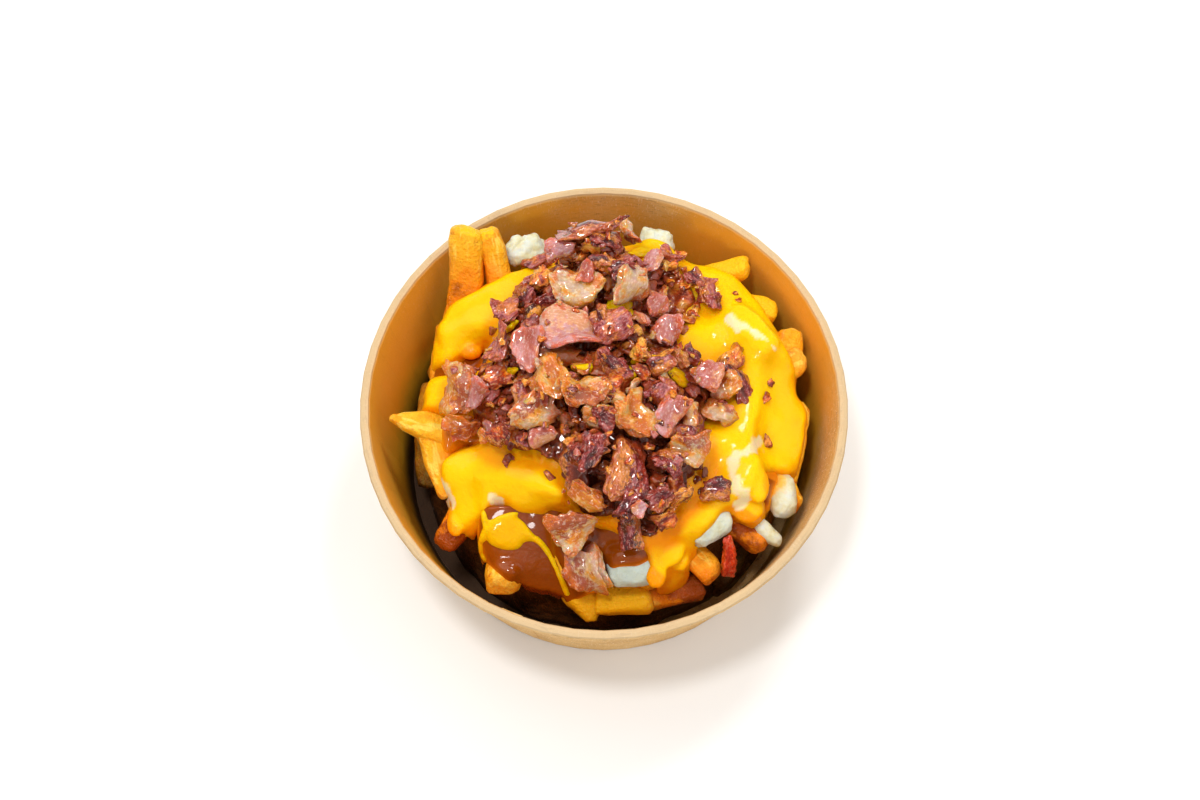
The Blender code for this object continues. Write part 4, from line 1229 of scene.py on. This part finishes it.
# %% Swirl on the gravy
SWIRL_SEEN = [(487, 543), (485, 530), (491, 520), (501, 515), (512, 512), (521, 512), (515, 517),
              (523, 521), (529, 529), (536, 537), (541, 544), (532, 541), (523, 542), (521, 548),
              (512, 551), (499, 549)]
TAILS_SEEN = [
    [(536, 538), (543, 545), (551, 556), (557, 568), (562, 580), (567, 593)],
    [(492, 522), (485, 531), (481, 542), (482, 552), (486, 560)],
    [(484, 513), (485, 522), (487, 530)],
]
SWIRL_THICKNESS, SWIRL_LIP, SWIRL_VOXEL = 1.3, 2.5, 0.45
TAIL_SIZE = (1.1, 1.1, 0.7)
corners = [seen_on_food(px, py, under_sauce)[:2] for px, py in SWIRL_SEEN]
edge = inside_by(rounded_outline(corners, 2))
top, bottom, kept, _ = pour(under_sauce, soften(under_sauce, 3), edge, SWIRL_THICKNESS, SWIRL_LIP)
mesh = slab(top, bottom, kept)
for tail in TAILS_SEEN:
    for px, py in steps_along(tail, 9):
        add_blob(mesh, seen_at(px, py, under_sauce), TAIL_SIZE)
points, _, faces = remeshed(mesh, SWIRL_VOXEL, 4)
new_piece("swirl", points, faces, cheese, {"thick": np.full(len(points), 0.55)},
          ("cheese_swirl",))
under_bacon = raise_map(under_sauce, sauce_piece)

# %% [markdown]
# Bacon was fried, then chopped. Its pieces are of five kinds: dark red lean meat with a grain,
# smooth pink slices, amber and tan fat that light shines through, small crisp crumbs, and one stiff
# red strip. They all start from the same block. Its faces are cut into more squares for a larger
# piece, and a row of numbers for each kind says how the block is changed.

# %% Kinds of bacon


def block_lattice(cuts):
    """A cube whose faces are cut into squares: (points from -1 to 1, faces)."""
    bm = bmesh.new()
    bmesh.ops.create_cube(bm, size=2)
    bmesh.ops.subdivide_edges(bm, edges=bm.edges, cuts=cuts, use_grid_fill=True)
    points = np.array([v.co for v in bm.verts])
    faces = [[v.index for v in face.verts] for face in bm.faces]
    bm.free()
    return points, faces


# Pieces longer than 7.5 and than 4 mm get finer blocks
LATTICES = [(7.5, block_lattice(11)), (4.0, block_lattice(7)), (0.0, block_lattice(4))]
BACON_FORMS = {
    # kind: squareness of its outline, planes that cut its corners, how far it swells and narrows,
    # wave of the slice, raggedness of its edge, roughness of its faces, length of its fibres
    "lean": (4.0, 1, 0.45, 0.16, 1.1, 0.36, 2.4),
    "pink": (2.8, 0, 0.35, 0.15, 0.6, 0.12, 1.4),
    "fat": (3.0, 0, 0.60, 0.24, 1.0, 0.22, 1.3),
    "crisp": (3.6, 2, 0.55, 0.22, 1.3, 0.46, 1.8),
    "red": (3.6, 0, 0.12, 0.10, 0.8, 0.45, 3.0),
}

# %% [markdown]
# A slice is a block with rounded corners, and some lose a corner to a chance plane. Then each one
# swells here and narrows there, and is torn, pitted and curled, mostly by smooth noise. Where its
# points lay before it was turned goes along as an attribute, so that grain and streaks run along a
# piece whichever way it lies.

# %% One piece of bacon


def bacon_shape(size, kind, draw):
    """Points, faces and attributes of one chopped slice lying flat, in millimetres."""
    length, width, thickness = size
    lattice, faces = next(block for least, block in LATTICES if length > least)
    squareness, cuts, swell, wave, ragged, rough, fibre = BACON_FORMS[kind]
    # A block with rounded corners, some of them cut off
    reach = (np.abs(lattice) ** squareness).sum(1) ** (1 / squareness)
    unit = lattice / reach[:, None]
    for _ in range(cuts):
        plane = np.array([draw.gauss(0, 1), draw.gauss(0, 1), draw.gauss(0, 0.35)])
        plane /= np.linalg.norm(plane)
        over = np.maximum(unit @ plane - draw.uniform(0.58, 0.88), 0)
        unit = unit - over[:, None] * plane
    # It is wider in some places and at one end, and may be bent sideways
    seed = draw.uniform(0, 200)
    unit[:, :2] *= (1 + swell * rumple(unit, 0.9, seed + 17))[:, None]
    local = unit * np.array([length, width, thickness]) / 2
    local[:, 1] *= 1 + draw.uniform(-0.4, 0.4) * unit[:, 0]
    local[:, 1] += draw.uniform(-0.12, 0.12) * length * unit[:, 0] ** 2
    rim = np.clip(np.hypot(unit[:, 0], unit[:, 1]) * 1.5 - 0.6, 0, 1)
    # Its edge is torn in and out, and its faces are pitted along the fibres
    torn = 0.5 - 1.6 * np.abs(rumple(local, 2.4, seed)) + 0.6 * rumple(local, 1.1, seed + 3)
    flat_out = unit[:, :2] / np.maximum(np.linalg.norm(unit[:, :2], axis=1), 0.2)[:, None]
    local[:, :2] += flat_out * (torn * ragged * min(1.0, width / 4.5) * rim)[:, None]
    stretched = local * np.array([1 / fibre, 1.0, 1.0])
    pits = rumple(stretched, 1.5, seed + 5) + 0.6 * rumple(stretched, 0.7, seed + 8)
    outward = unit / np.maximum(np.linalg.norm(unit, axis=1), 0.1)[:, None]
    local = local + outward * (pits * rough * min(1.0, thickness / 2.5))[:, None]
    # Frying curled the slice and made it wavy
    x, y = local[:, 0] / length, local[:, 1] / length
    curl, cup, twist = draw.uniform(-0.25, 0.35), draw.uniform(-0.3, 0.3), draw.uniform(-0.5, 0.5)
    local[:, 2] += length * (curl * (4 * x * x - 0.5) * 0.5 + cup * 2 * y * y + twist * 2 * x * y)
    lying = np.stack([x * 2.2 + seed, y * 2.2, 0 * x], 1)
    local[:, 2] += length * wave * rumple(lying, 1.0, seed)
    # Which side the stripe is on, and how far it goes
    stripe = unit[:, 1] * 0.5 * draw.choice((-1, 1)) + 0.5 + draw.uniform(-0.4, 0.3)
    return local, faces, {"own": local + seed, "rim": rim, "stripe": stripe,
                          "tone": np.full(len(local), draw.random())}


# %% [markdown]
# Every kind of bacon has its own colours, but all are cooked the same way: darker and redder
# towards their rims, speckled with grease, and rough. So the colours stand in one table, and one
# loop makes all five materials from it.

# %% Colours of bacon
BACON_LOOKS = {
    # kind: colours of its patches, colour of the stripe along one side, colour of cooked rims,
    # dark grit, pale grit and painted glint specks, relief depth
    "lean": ([(0.0, (0.040, 0.003, 0.004)), (0.25, (0.13, 0.008, 0.009)), (0.45, (0.26, 0.024, 0.026)),
              (0.62, (0.40, 0.115, 0.120)), (0.80, (0.44, 0.085, 0.060)), (1.0, (0.58, 0.16, 0.016))],
             (0.62, 0.20, 0.020), (0.34, 0.030, 0.010), (0.040, 0.004, 0.005), (0.84, 0.52, 0.44), 0.0004),
    "pink": ([(0.0, (0.36, 0.070, 0.038)), (0.35, (0.45, 0.13, 0.10)), (0.7, (0.50, 0.20, 0.18)),
              (1.0, (0.52, 0.28, 0.29))],
             (0.60, 0.29, 0.13), (0.54, 0.085, 0.014), (0.38, 0.06, 0.03), (0.94, 0.78, 0.74), 0.0002),
    "fat": ([(0.0, (0.50, 0.11, 0.004)), (0.28, (0.62, 0.20, 0.012)), (0.48, (0.64, 0.28, 0.035)),
             (0.68, (0.56, 0.33, 0.12)), (0.85, (0.54, 0.35, 0.19)), (1.0, (0.52, 0.34, 0.25))],
            (0.30, 0.035, 0.012), (0.62, 0.15, 0.008), (0.34, 0.09, 0.012), (0.92, 0.82, 0.62), 0.00025),
    "crisp": ([(0.0, (0.060, 0.006, 0.003)), (0.22, (0.28, 0.022, 0.005)), (0.45, (0.58, 0.075, 0.005)),
               (0.7, (0.78, 0.22, 0.008)), (1.0, (0.76, 0.38, 0.05))],
              (0.80, 0.30, 0.020), (0.26, 0.020, 0.004), (0.050, 0.006, 0.003), (0.92, 0.60, 0.26), 0.0004),
    "red": ([(0.0, (0.36, 0.010, 0.003)), (0.5, (0.56, 0.020, 0.003)), (1.0, (0.72, 0.060, 0.005))],
            (0.30, 0.012, 0.004), (0.66, 0.05, 0.004), (0.12, 0.004, 0.002), (0.80, 0.30, 0.16), 0.0006),
}

# %% [markdown]
# The shared groups draw the patches, the grit and the specks of painted glint, and each material
# only picks colours and sizes. A clear coat stands for the grease. Light enters pink slices and fat
# deeper than lean meat, so these two get more subsurface scattering.

# %% Bacon finishes
TORN_ALONG = (0.6, 1.1, 1.1)      # patches and grit are longer along a piece than across
bacon_finishes = {}
for kind, looks in BACON_LOOKS.items():
    patch_colours, stripe_colour, rim_colour, dark, pale_grit_and_glint, relief_depth = looks
    soft = kind in ("fat", "pink")
    finish = Finish("bacon_" + kind)
    own = finish.read("own", "Vector")
    patches = use_group(drift, own, Scale=0.30, Stretch=TORN_ALONG, Detail=3.0)
    mixed = patches * 0.55 + finish.read("tone") * 0.45
    meat = ramp(between(mixed, 0.05, 0.95), patch_colours)
    # Along one side a slice turns from lean to fat or the other way
    spread = use_group(drift, own, Scale=0.45, Detail=4.0)
    striped = spread * 0.5 + finish.read("stripe")
    meat = blend(between(striped, 0.85, 1.1) * 0.85, meat, stripe_colour)
    # Its rim is cooked the most
    cooked = finish.read("rim") * spread
    meat = blend(between(cooked, 0.20, 0.65) * 0.75, meat, rim_colour)
    # Grit finer than the patches: dark grit for the torn ends of fibres, pale grit and specks as painted
    # glints of grease
    grit = use_group(drift, own, Scale=1.3, Stretch=TORN_ALONG, Detail=2.0)
    meat = blend(between(grit, 0.45, 0.10) * (0.2 if soft else 0.45), meat, dark)
    meat = blend(between(grit, 0.65, 0.95) * 0.25, meat, pale_grit_and_glint)
    painted_glints = use_group(glint_specks, own, Scale=1.1, Amount=0.22)
    meat = blend(painted_glints * (0.2 if soft else 0.4), meat, pale_grit_and_glint)
    # Low in the pile the pieces are painted orange red, tinted like fat glaze, and the deepest near black:
    # painted crevice shade
    crevice_shade_and_glaze = finish.read("crevice_shade_and_glaze")
    meat = blend(between(crevice_shade_and_glaze, 0.0, 0.6) * 0.7, meat, (0.30, 0.038, 0.005))
    meat = blend(between(crevice_shade_and_glaze, 0.45, 1.0) * 0.75, meat, (0.060, 0.006, 0.003))
    finish.feed(
        Base_Color=meat, Roughness=0.4,
        Normal=use_group(relief, own, Scale=1.1, Depth=relief_depth, Stretch=(0.8, 1, 1)),
        Specular_IOR_Level=0.08, Coat_Weight=1.0, Coat_Roughness=0.09,
        Subsurface_Weight=0.8 if soft else 0.25, Subsurface_Scale=0.003 if soft else 0.0015,
        Subsurface_Radius=(1.0, 0.35, 0.12))
    bacon_finishes[kind] = finish
print("bacon finishes:", list(bacon_finishes))

# %% [markdown]
# The mound is piled, not drawn: each piece is dropped at its place, comes to rest on what is there,
# and raises the height map under itself before the next one falls. It lies along the slope of the
# ground, with a chance tilt, and sinks in a little, as bits that are stuck together by fat do.

# %% Dropping bacon
bits = {kind: Heap() for kind in BACON_LOOKS}
pile = under_bacon.copy()
# The bits in front of this line get darker tones
FRONT_DARKER_FROM, FRONT_TONE = -14.0, 0.4
STEADINESS = 1.6      # above 1, pieces lie flatter than the ground
STUCK = 0.25          # share of its thickness that a piece is pressed in
SUNK_TOP = 0.2        # the map stays this much below a piece's top


def slope_at(field, x, y, reach):
    """Direction that the ground faces round a place."""
    right, left = read_map(field, x + reach, y), read_map(field, x - reach, y)
    far, near = read_map(field, x, y + reach), read_map(field, x, y - reach)
    found = np.array([left - right, near - far, 2 * reach * STEADINESS])
    return found / np.linalg.norm(found)


def drop_bacon(kind, x, y, size, turn, draw, tilt=0.45, sink=0.55, tone=None):
    """Rest one piece on the pile at a place, turned by some degrees seen from above."""
    local, faces, attributes = bacon_shape(size, kind, draw)
    faces_up = slope_at(pile, x, y, max(1.5, size[1] / 2))
    faces_up = faces_up + np.array([draw.uniform(-tilt, tilt), draw.uniform(-tilt, tilt), 0])
    faces_up /= np.linalg.norm(faces_up)
    heading = np.array([math.cos(math.radians(turn)), math.sin(math.radians(turn)), 0.0])
    side = np.cross(faces_up, heading)
    side /= np.linalg.norm(side)
    axes = np.array([np.cross(side, faces_up), side, faces_up])
    world = local @ axes
    world[:, 0] += x
    world[:, 1] += y
    # It rests between touching with one point and lying on the middle of the ground below it
    below = read_map(pile, world[:, 0], world[:, 1])
    gaps = np.sort(below - world[:, 2])
    world[:, 2] += gaps[-1] * (1 - sink) + gaps[len(gaps) // 2] * sink - STUCK * size[2] * sink
    if tone is not None:
        attributes["tone"] = np.full(len(world), tone)
    elif y < FRONT_DARKER_FROM:
        attributes["tone"] = attributes["tone"] * FRONT_TONE
    bits[kind].add(world, faces, **attributes)
    # Raise the map to the piece: each of its points raises the cell below it and the eight round that
    column = np.round((world[:, 0] + REACH) / STEP).astype(int)
    row = np.round((world[:, 1] + REACH) / STEP).astype(int)
    for i in (-1, 0, 1):
        for j in (-1, 0, 1):
            np.maximum.at(pile, (column + i, row + j), world[:, 2] - SUNK_TOP)


print("bacon kinds to drop:", list(bits))

# %% [markdown]
# A bed of the finest crumbs, stuck together by fat, lies under the rest and closes the gaps. It is
# poured like a liquid, with a rough top. Here and there it is left open, because small dabs of
# sauce lie between the bits of bacon, and no crumb may fall on those.

# %% Bed of crumbs
# Outline of the mound seen from above
BACON_EDGE = [
    (-16, 52), (-8, 57), (4, 57.5), (15, 54), (29, 46), (36, 36), (32, 26), (27, 16), (36, 14),
    (43, 5), (39, -6), (33, -15), (33, -24), (30, -33), (22, -40), (13, -45), (5, -44),
    (-9, -44), (-14, -36), (-18, -26), (-28, -24), (-37, -19), (-45, -10), (-49, 0),
    (-47, 8), (-38, 14), (-36, 25), (-29, 35), (-22, 41),
]
bacon_edge = inside_by(rounded_outline(BACON_EDGE, 2))
# Dabs of sauce: point of the picture, half sizes across and along
DABS = [
    ((508, 322), 2.6, 1.8), ((504, 372), 3.6, 1.9), ((620, 312), 4.4, 3.0), ((645, 352), 3.6, 2.2),
    ((632, 368), 2.8, 2.0), ((583, 366), 3.2, 1.8), ((679, 379), 3.8, 2.0), ((533, 262), 3.6, 2.6),
    ((640, 252), 4.0, 2.0),
]
BED_THICKNESS, BED_LIP, BED_VOXEL = 1.9, 2.0, 0.65
BED_INSET, BED_RAGGED = 6.5, 3.0      # how far inside the mound it ends, and how much that varies


def from_dab(x, y, across, along):
    """How far each point of the grid is from the middle of a dab, measured across it."""
    return np.hypot(GRID_X - x, (GRID_Y - y) * across / along)


edge = bacon_edge - BED_INSET + BED_RAGGED * grid_noise(4.5, 31.0)
for (px, py), across, along in DABS:
    x, y, _ = seen_on_food(px, py, pile, 2.5)
    edge = np.minimum(edge, from_dab(x, y, across, along) - across)
top, bottom, kept, _ = pour(pile, soften(pile, 2), edge, BED_THICKNESS, BED_LIP)
top = top + np.where(edge > 0.5, 1.1 * grid_noise(2.6, 5.0) + 0.6 * grid_noise(1.6, 9.0), 0)
points, _, faces = remeshed(slab(top, bottom, kept), BED_VOXEL, 1)
tone = np.clip(0.42 + 0.75 * rumple(points, 3.4, 4), 0, 1)
bed = new_piece(
    "bacon_bed", points, faces, bacon_finishes["crisp"],
    {"own": points, "rim": np.full(len(points), 0.3), "stripe": np.full(len(points), 0.35), "tone": tone})
pile = raise_map(pile, bed)
taken = np.zeros(GRID_X.shape)
for (px, py), across, along in DABS:
    x, y, _ = seen_on_food(px, py, pile, 2.0)
    taken[from_dab(x, y, across, along) < across * 1.1] = 1

# %% [markdown]
# Small crumbs fall on the bed, fewer towards the edge of the mound. Most are crisp or lean, and a
# few larger ones keep to its middle.

# %% Crumbs
CRUMB_KINDS = ("lean", "crisp", "fat", "pink")
ACROSS, ALONG = (-50, 45), (-46, 58)      # the mound lies within these
FULL_INSIDE = 9.0                         # this far inside its outline the crumbs lie closest
bacon_draw = random.Random(17)


def strew(count, sizes, shares, least_inside):
    """Drop small pieces by seeded chance; shares are those of the kinds of crumbs."""
    dropped = 0
    while dropped < count:
        x, y = bacon_draw.uniform(*ACROSS), bacon_draw.uniform(*ALONG)
        within = float(read_map(bacon_edge, x, y))
        if within < least_inside or within / FULL_INSIDE < bacon_draw.random() * 0.9:
            continue
        if read_map(taken, x, y) > 0.5:
            continue
        kind = bacon_draw.choices(CRUMB_KINDS, shares)[0]
        length = bacon_draw.uniform(*sizes) * (0.75 if within < 3 else 1)
        size = (length, length * bacon_draw.uniform(0.45, 0.85), length * bacon_draw.uniform(0.28, 0.48))
        drop_bacon(kind, x, y, size, bacon_draw.uniform(0, 360), bacon_draw)
        dropped += 1
    print(f"{dropped} pieces of {sizes} mm, pile up to {pile.max():.1f} mm")


strew(300, (3.0, 6.5), (38, 38, 18, 6), 0.8)
strew(240, (2.0, 4.5), (34, 48, 14, 4), 0.5)
strew(80, (5.0, 8.5), (44, 24, 22, 10), 4.0)

# %% [markdown]
# The dabs of sauce lie in the gaps that were left for them. Each is a flattened ball, dented by
# noise, that follows the pile as it is on average, so it bridges small holes.

# %% Dabs of sauce
HALF_DAB, DAB_SUNK = 1.8, 0.8      # half its thickness, and how far its middle lies in the pile
level = soften(pile, 40)
dabs = Heap()
ball, ball_faces = block_lattice(7)
ball = ball / np.linalg.norm(ball, axis=1)[:, None]
for (px, py), across, along in DABS:
    x, y, _ = seen_on_food(px, py, pile, 0.5)
    dented = 1 + 0.5 * rumple(ball, 0.8, across)
    dab = ball * np.array([across, along, HALF_DAB]) * dented[:, None]
    dab[:, :2] += np.array([x, y])
    dab[:, 2] += read_map(level, dab[:, 0], dab[:, 1]) - DAB_SUNK
    dabs.add(dab, ball_faces, thick=np.full(len(dab), 0.45))
dabs_piece = dabs.piece("sauce_dabs", cheese, "cheese_sauce")
pile = raise_map(pile, dabs_piece)

# %% [markdown]
# The pieces that can be told apart fall last, so that they lie on top. Each has the point of the
# picture where it is seen, its length, width and thickness in millimetres, its turn in degrees and,
# for some, its tone from 0 to 1. The point also seeds the chance that shapes the piece, so a piece
# stays the same when others are added or changed.

# %% Bacon pieces that can be told apart
SEEN_BACON = {
    "lean": [
        (605, 239, 8.5, 5.6, 3.5, 0, 0.1), (536, 262, 9.4, 4.7, 3.5, 20), (602, 258, 7.5, 3.8, 3, 0),
        (623, 268, 6.6, 4.7, 3, 30), (669, 253, 9.4, 4.7, 3.5, -60), (699, 278, 7, 5, 3, -50),
        (708, 290, 7, 4.5, 3, -60), (714, 304, 5, 4, 2.5, -60), (510, 308, 8, 6.6, 4, 30),
        (527, 296, 5.6, 4.7, 4, 60), (550, 305, 8.5, 4.7, 3.5, 10), (497, 347, 11, 8.5, 4.5, 60, 0.8),
        (614, 330, 10.5, 9, 5, 40), (611, 359, 10.5, 4.4, 3.5, -5), (662, 365, 6.6, 4.2, 3, 20),
        (680, 361, 5.6, 5.6, 3.5, 0), (662, 391, 6.6, 5.6, 4, 40), (543, 397, 8.5, 7.5, 4, 30),
        (522, 397, 7.5, 5.6, 4, 80), (574, 465, 14, 8.5, 6, 80), (591, 453, 10.5, 5.6, 5, 80),
        (629, 465, 17, 9.5, 7, 84), (669, 459, 8.5, 5.6, 4, -20), (740, 382, 12.5, 4.8, 3.5, -50, 0.3),
        (716, 490, 9.5, 6.2, 4, 4, 0.0), (660, 499, 7, 5, 4, 30), (626, 505, 8, 5, 4, 60),
        (629, 539, 12, 6.4, 5, 75), (594, 225, 18, 7.5, 5, -4, 0.45),
    ],
    "pink": [
        (560, 250, 9.6, 6, 3.5, 10, 0.9), (586, 271, 6.6, 4.7, 3, 80), (653, 265, 10, 4.7, 3, 70, 0.8),
        (654, 311, 7.5, 6.6, 3.5, 40, 0.3), (666, 333, 10, 7.5, 4, 70, 0.6),
        (479, 400, 10, 5.6, 3.5, 70, 0.6), (543, 440, 7.5, 6.6, 3.5, 20, 0.1),
        (709, 370, 10, 8.5, 4.5, 60, 0.4), (640, 507, 5, 4, 3, 70, 1.0),
        (668, 419, 12.5, 7.6, 5, 62, 0.6), (527, 350, 13.5, 8.6, 4, 80, 0.4),
        (568, 334, 17, 14, 5, -10, 1.0),
    ],
    "fat": [
        (628, 238, 7.2, 6.6, 4, 30, 0.95), (556, 354, 14, 5, 3.5, 0, 0.3),
        (614, 402, 7, 5.6, 3.5, -30, 0.5), (634, 390, 6, 2.4, 2.2, 40, 0.5),
        (460, 386, 15, 9, 4.5, 68, 0.55), (463, 433, 10.5, 7.5, 4, 0, 0.1),
        (691, 414, 7.5, 3.8, 3, 80, 0.6), (728, 385, 8.5, 6.6, 4, 30, 0.5),
        (722, 413, 9.4, 6.6, 4, -20, 0.85), (588, 502, 10.5, 6, 4.5, -60, 0.15),
        (688, 444, 11, 9.4, 5, -30, 0.6), (536, 423, 13, 9, 4, 30, 0.95),
        (550, 377, 12, 9, 5, -60, 0.1), (583, 397, 12, 10, 5.5, 20, 0.4), (631, 422, 11, 10, 6, 0, 0.3),
        (574, 531, 13, 9.4, 6, 30, 0.6), (586, 576, 16.5, 10.6, 6, 112, 1.0),
        (574, 293, 15, 10.5, 5.5, -10, 0.8), (631, 291, 13, 10.5, 5.5, 80, 0.95),
    ],
    "crisp": [
        (590, 237, 13, 8, 6, 0), (602, 231, 10, 7, 4.5, 0), (542, 278, 8.5, 5.6, 4, 80),
        (593, 251, 5.6, 5.6, 3.5, 0), (688, 241, 4.5, 3.2, 2.5, 20), (494, 373, 8, 6.5, 4, 20),
        (640, 351, 10, 4.7, 4, 80), (616, 382, 7.5, 5.6, 4, 20), (732, 357, 7.5, 5.6, 4, 70),
        (645, 490, 7.5, 5.6, 4, 20), (682, 496, 8, 4.8, 3.5, 10), (666, 520, 7.5, 5.6, 4, 50),
        (766, 397, 3.4, 2.4, 1.8, 70), (771, 382, 2.4, 2.0, 1.4, 20), (769, 442, 3.6, 2.8, 2, 80),
        (738, 300, 2.2, 1.6, 1.2, 0), (735, 293, 1.8, 1.4, 1, 40),
    ],
}

# %% [markdown]
# They are dropped kind by kind, the pale ones last, because fat and pink slices lie on top in the
# dish. The last and finest crumbs fall on all of them.

# %% Dropping them on the mound
SEEN_THICKNESS = 0.72      # they turned out thinner than listed
for kind in ("crisp", "lean", "fat", "pink"):
    for px, py, length, width, thickness, turn, *tone in SEEN_BACON[kind]:
        x, y, _ = seen_on_food(px, py, pile, thickness * 0.5)
        size = (length, width, thickness * SEEN_THICKNESS)
        drop_bacon(kind, x, y, size, turn, random.Random(px * 1000 + py), 0.2, 0.5, *tone)
strew(110, (1.3, 2.8), (26, 52, 16, 6), 0.3)

# %% [markdown]
# A stiff red strip stands between two fries in front, where the CAD model has it. It stands too
# upright to be dropped, so it is turned to run from its low end to its high one.

# %% Red strip
STRIP_SIZE = (15.0, 3.8, 3.0)
low_end, high_end = np.array([38.2, -52.0, 44.0]), np.array([37.6, -43.0, 54.8])
local, faces, attributes = bacon_shape(STRIP_SIZE, "red", bacon_draw)
bits["red"].add(local @ turn_to(high_end - low_end) + (low_end + high_end) / 2, faces, **attributes)

# %% [markdown]
# Every kind becomes one piece. All of them, and the sauce, learn how deep each point lies below the
# pile round it, and their materials paint crevice shade there, tinted like fat glaze.

# %% Mound of bacon
STANDS_FOR = {
    "lean": ("bacon_heap", "bacon_dark_piece"), "fat": ("bacon_front_piece",),
    "red": ("bacon_red_strip",),
}
average = soften(pile, 60)


def crevice_shade_depth(points):
    """How deep points lie below the pile round them, from 0 to 1, for painted crevice shade; it is stronger
    in front.
    """
    below = np.clip((read_map(average, points[:, 0], points[:, 1]) - points[:, 2] - 0.3) / 3.0, 0, 1)
    return below * np.clip(0.6 - (points[:, 1] - FRONT_DARKER_FROM) / 40, 0.6, 1)


for kind, finish in bacon_finishes.items():
    bits[kind].attributes["crevice_shade_and_glaze"] = [crevice_shade_depth(np.concatenate(bits[kind].points))]
    bits[kind].piece("bacon_" + kind, finish, "bacon", STANDS_FOR.get(kind, ()))
for piece in (bed, sauce_piece):
    add_values(piece.data, "crevice_shade_and_glaze", crevice_shade_depth(np.array([v.co for v in piece.data.vertices]) / MM))
print(f"pile up to {pile.max():.1f} mm")

# %% [markdown]
# The floor is a plain pale sweep. It lies a hair below the foot of the bowl.

# %% Floor
FLOOR_SIZE, FLOOR_DROP = 3.0, 0.0002      # metres
half = FLOOR_SIZE / 2
floor_mesh = bpy.data.meshes.new("floor")
floor_mesh.from_pydata([(-half, -half, 0), (half, -half, 0), (half, half, 0), (-half, half, 0)], [],
                       [(0, 1, 2, 3)])
pale_floor = Finish("pale_floor")
haze = use_group(drift, pale_floor.place(), Scale=0.004, Detail=2.0)
pale_floor.feed(Base_Color=blend(haze, (0.86, 0.85, 0.83), (0.90, 0.89, 0.88)), Roughness=0.7)
floor_mesh.materials.append(pale_floor.material)
floor = into_scene("floor", floor_mesh)
floor.location.z = -FLOOR_DROP
print("floor", FLOOR_SIZE, "m wide")

# %% [markdown]
# The light is that of a studio. A soft window stands above and behind on the left, and a fainter
# fill on the right. Three small bright lamps put the white glints on gravy, sauce and grease. They
# stand apart, so that wet spots glint whichever way they face.

# %% Light
# Colours are shown as they are: a film-like transform would fade the yellow of the sauce
bpy.context.scene.view_settings.view_transform = "Standard"
AIM = Vector((0, 0, 60))


def add_lamp(name, place, size, power, colour=(1, 1, 1)):
    """A round soft lamp that looks at the food: place in millimetres, size in metres, power in watts."""
    data = bpy.data.lights.new(name, "AREA")
    data.shape, data.size, data.energy, data.color = "DISK", size, power, colour
    lamp = into_scene(name, data)
    lamp.location = Vector(place) * MM
    lamp.rotation_euler = (AIM - Vector(place)).to_track_quat("-Z", "Y").to_euler()


add_lamp("window", (-260, 290, 640), 0.60, 1.7, (1.0, 0.97, 0.92))
add_lamp("fill", (460, -160, 560), 0.70, 1.0, (1.0, 0.98, 0.95))
add_lamp("spark", (-100, -50, 700), 0.09, 1.6)
add_lamp("back_spark", (150, 300, 640), 0.14, 1.5)
add_lamp("front_spark", (-90, -560, 460), 0.10, 0.8)
world = bpy.data.worlds.new("studio")
bpy.context.scene.world = world
world.use_nodes = True
plug(world.node_tree.nodes["Background"].inputs, {"Color": (1.0, 0.99, 0.97, 1), "Strength": 0.5})
print("lamps:", [lamp.name for lamp in bpy.data.lights])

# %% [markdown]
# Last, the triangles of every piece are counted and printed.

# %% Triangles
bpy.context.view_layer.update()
pieces = [item for item in bpy.context.scene.objects if item.type == "MESH" and item is not floor]
counts = {item.name: sum(len(face.vertices) - 2 for face in item.data.polygons) for item in pieces}
print("triangles:", {name: count for name, count in counts.items() if count > 3000}, sum(counts.values()))
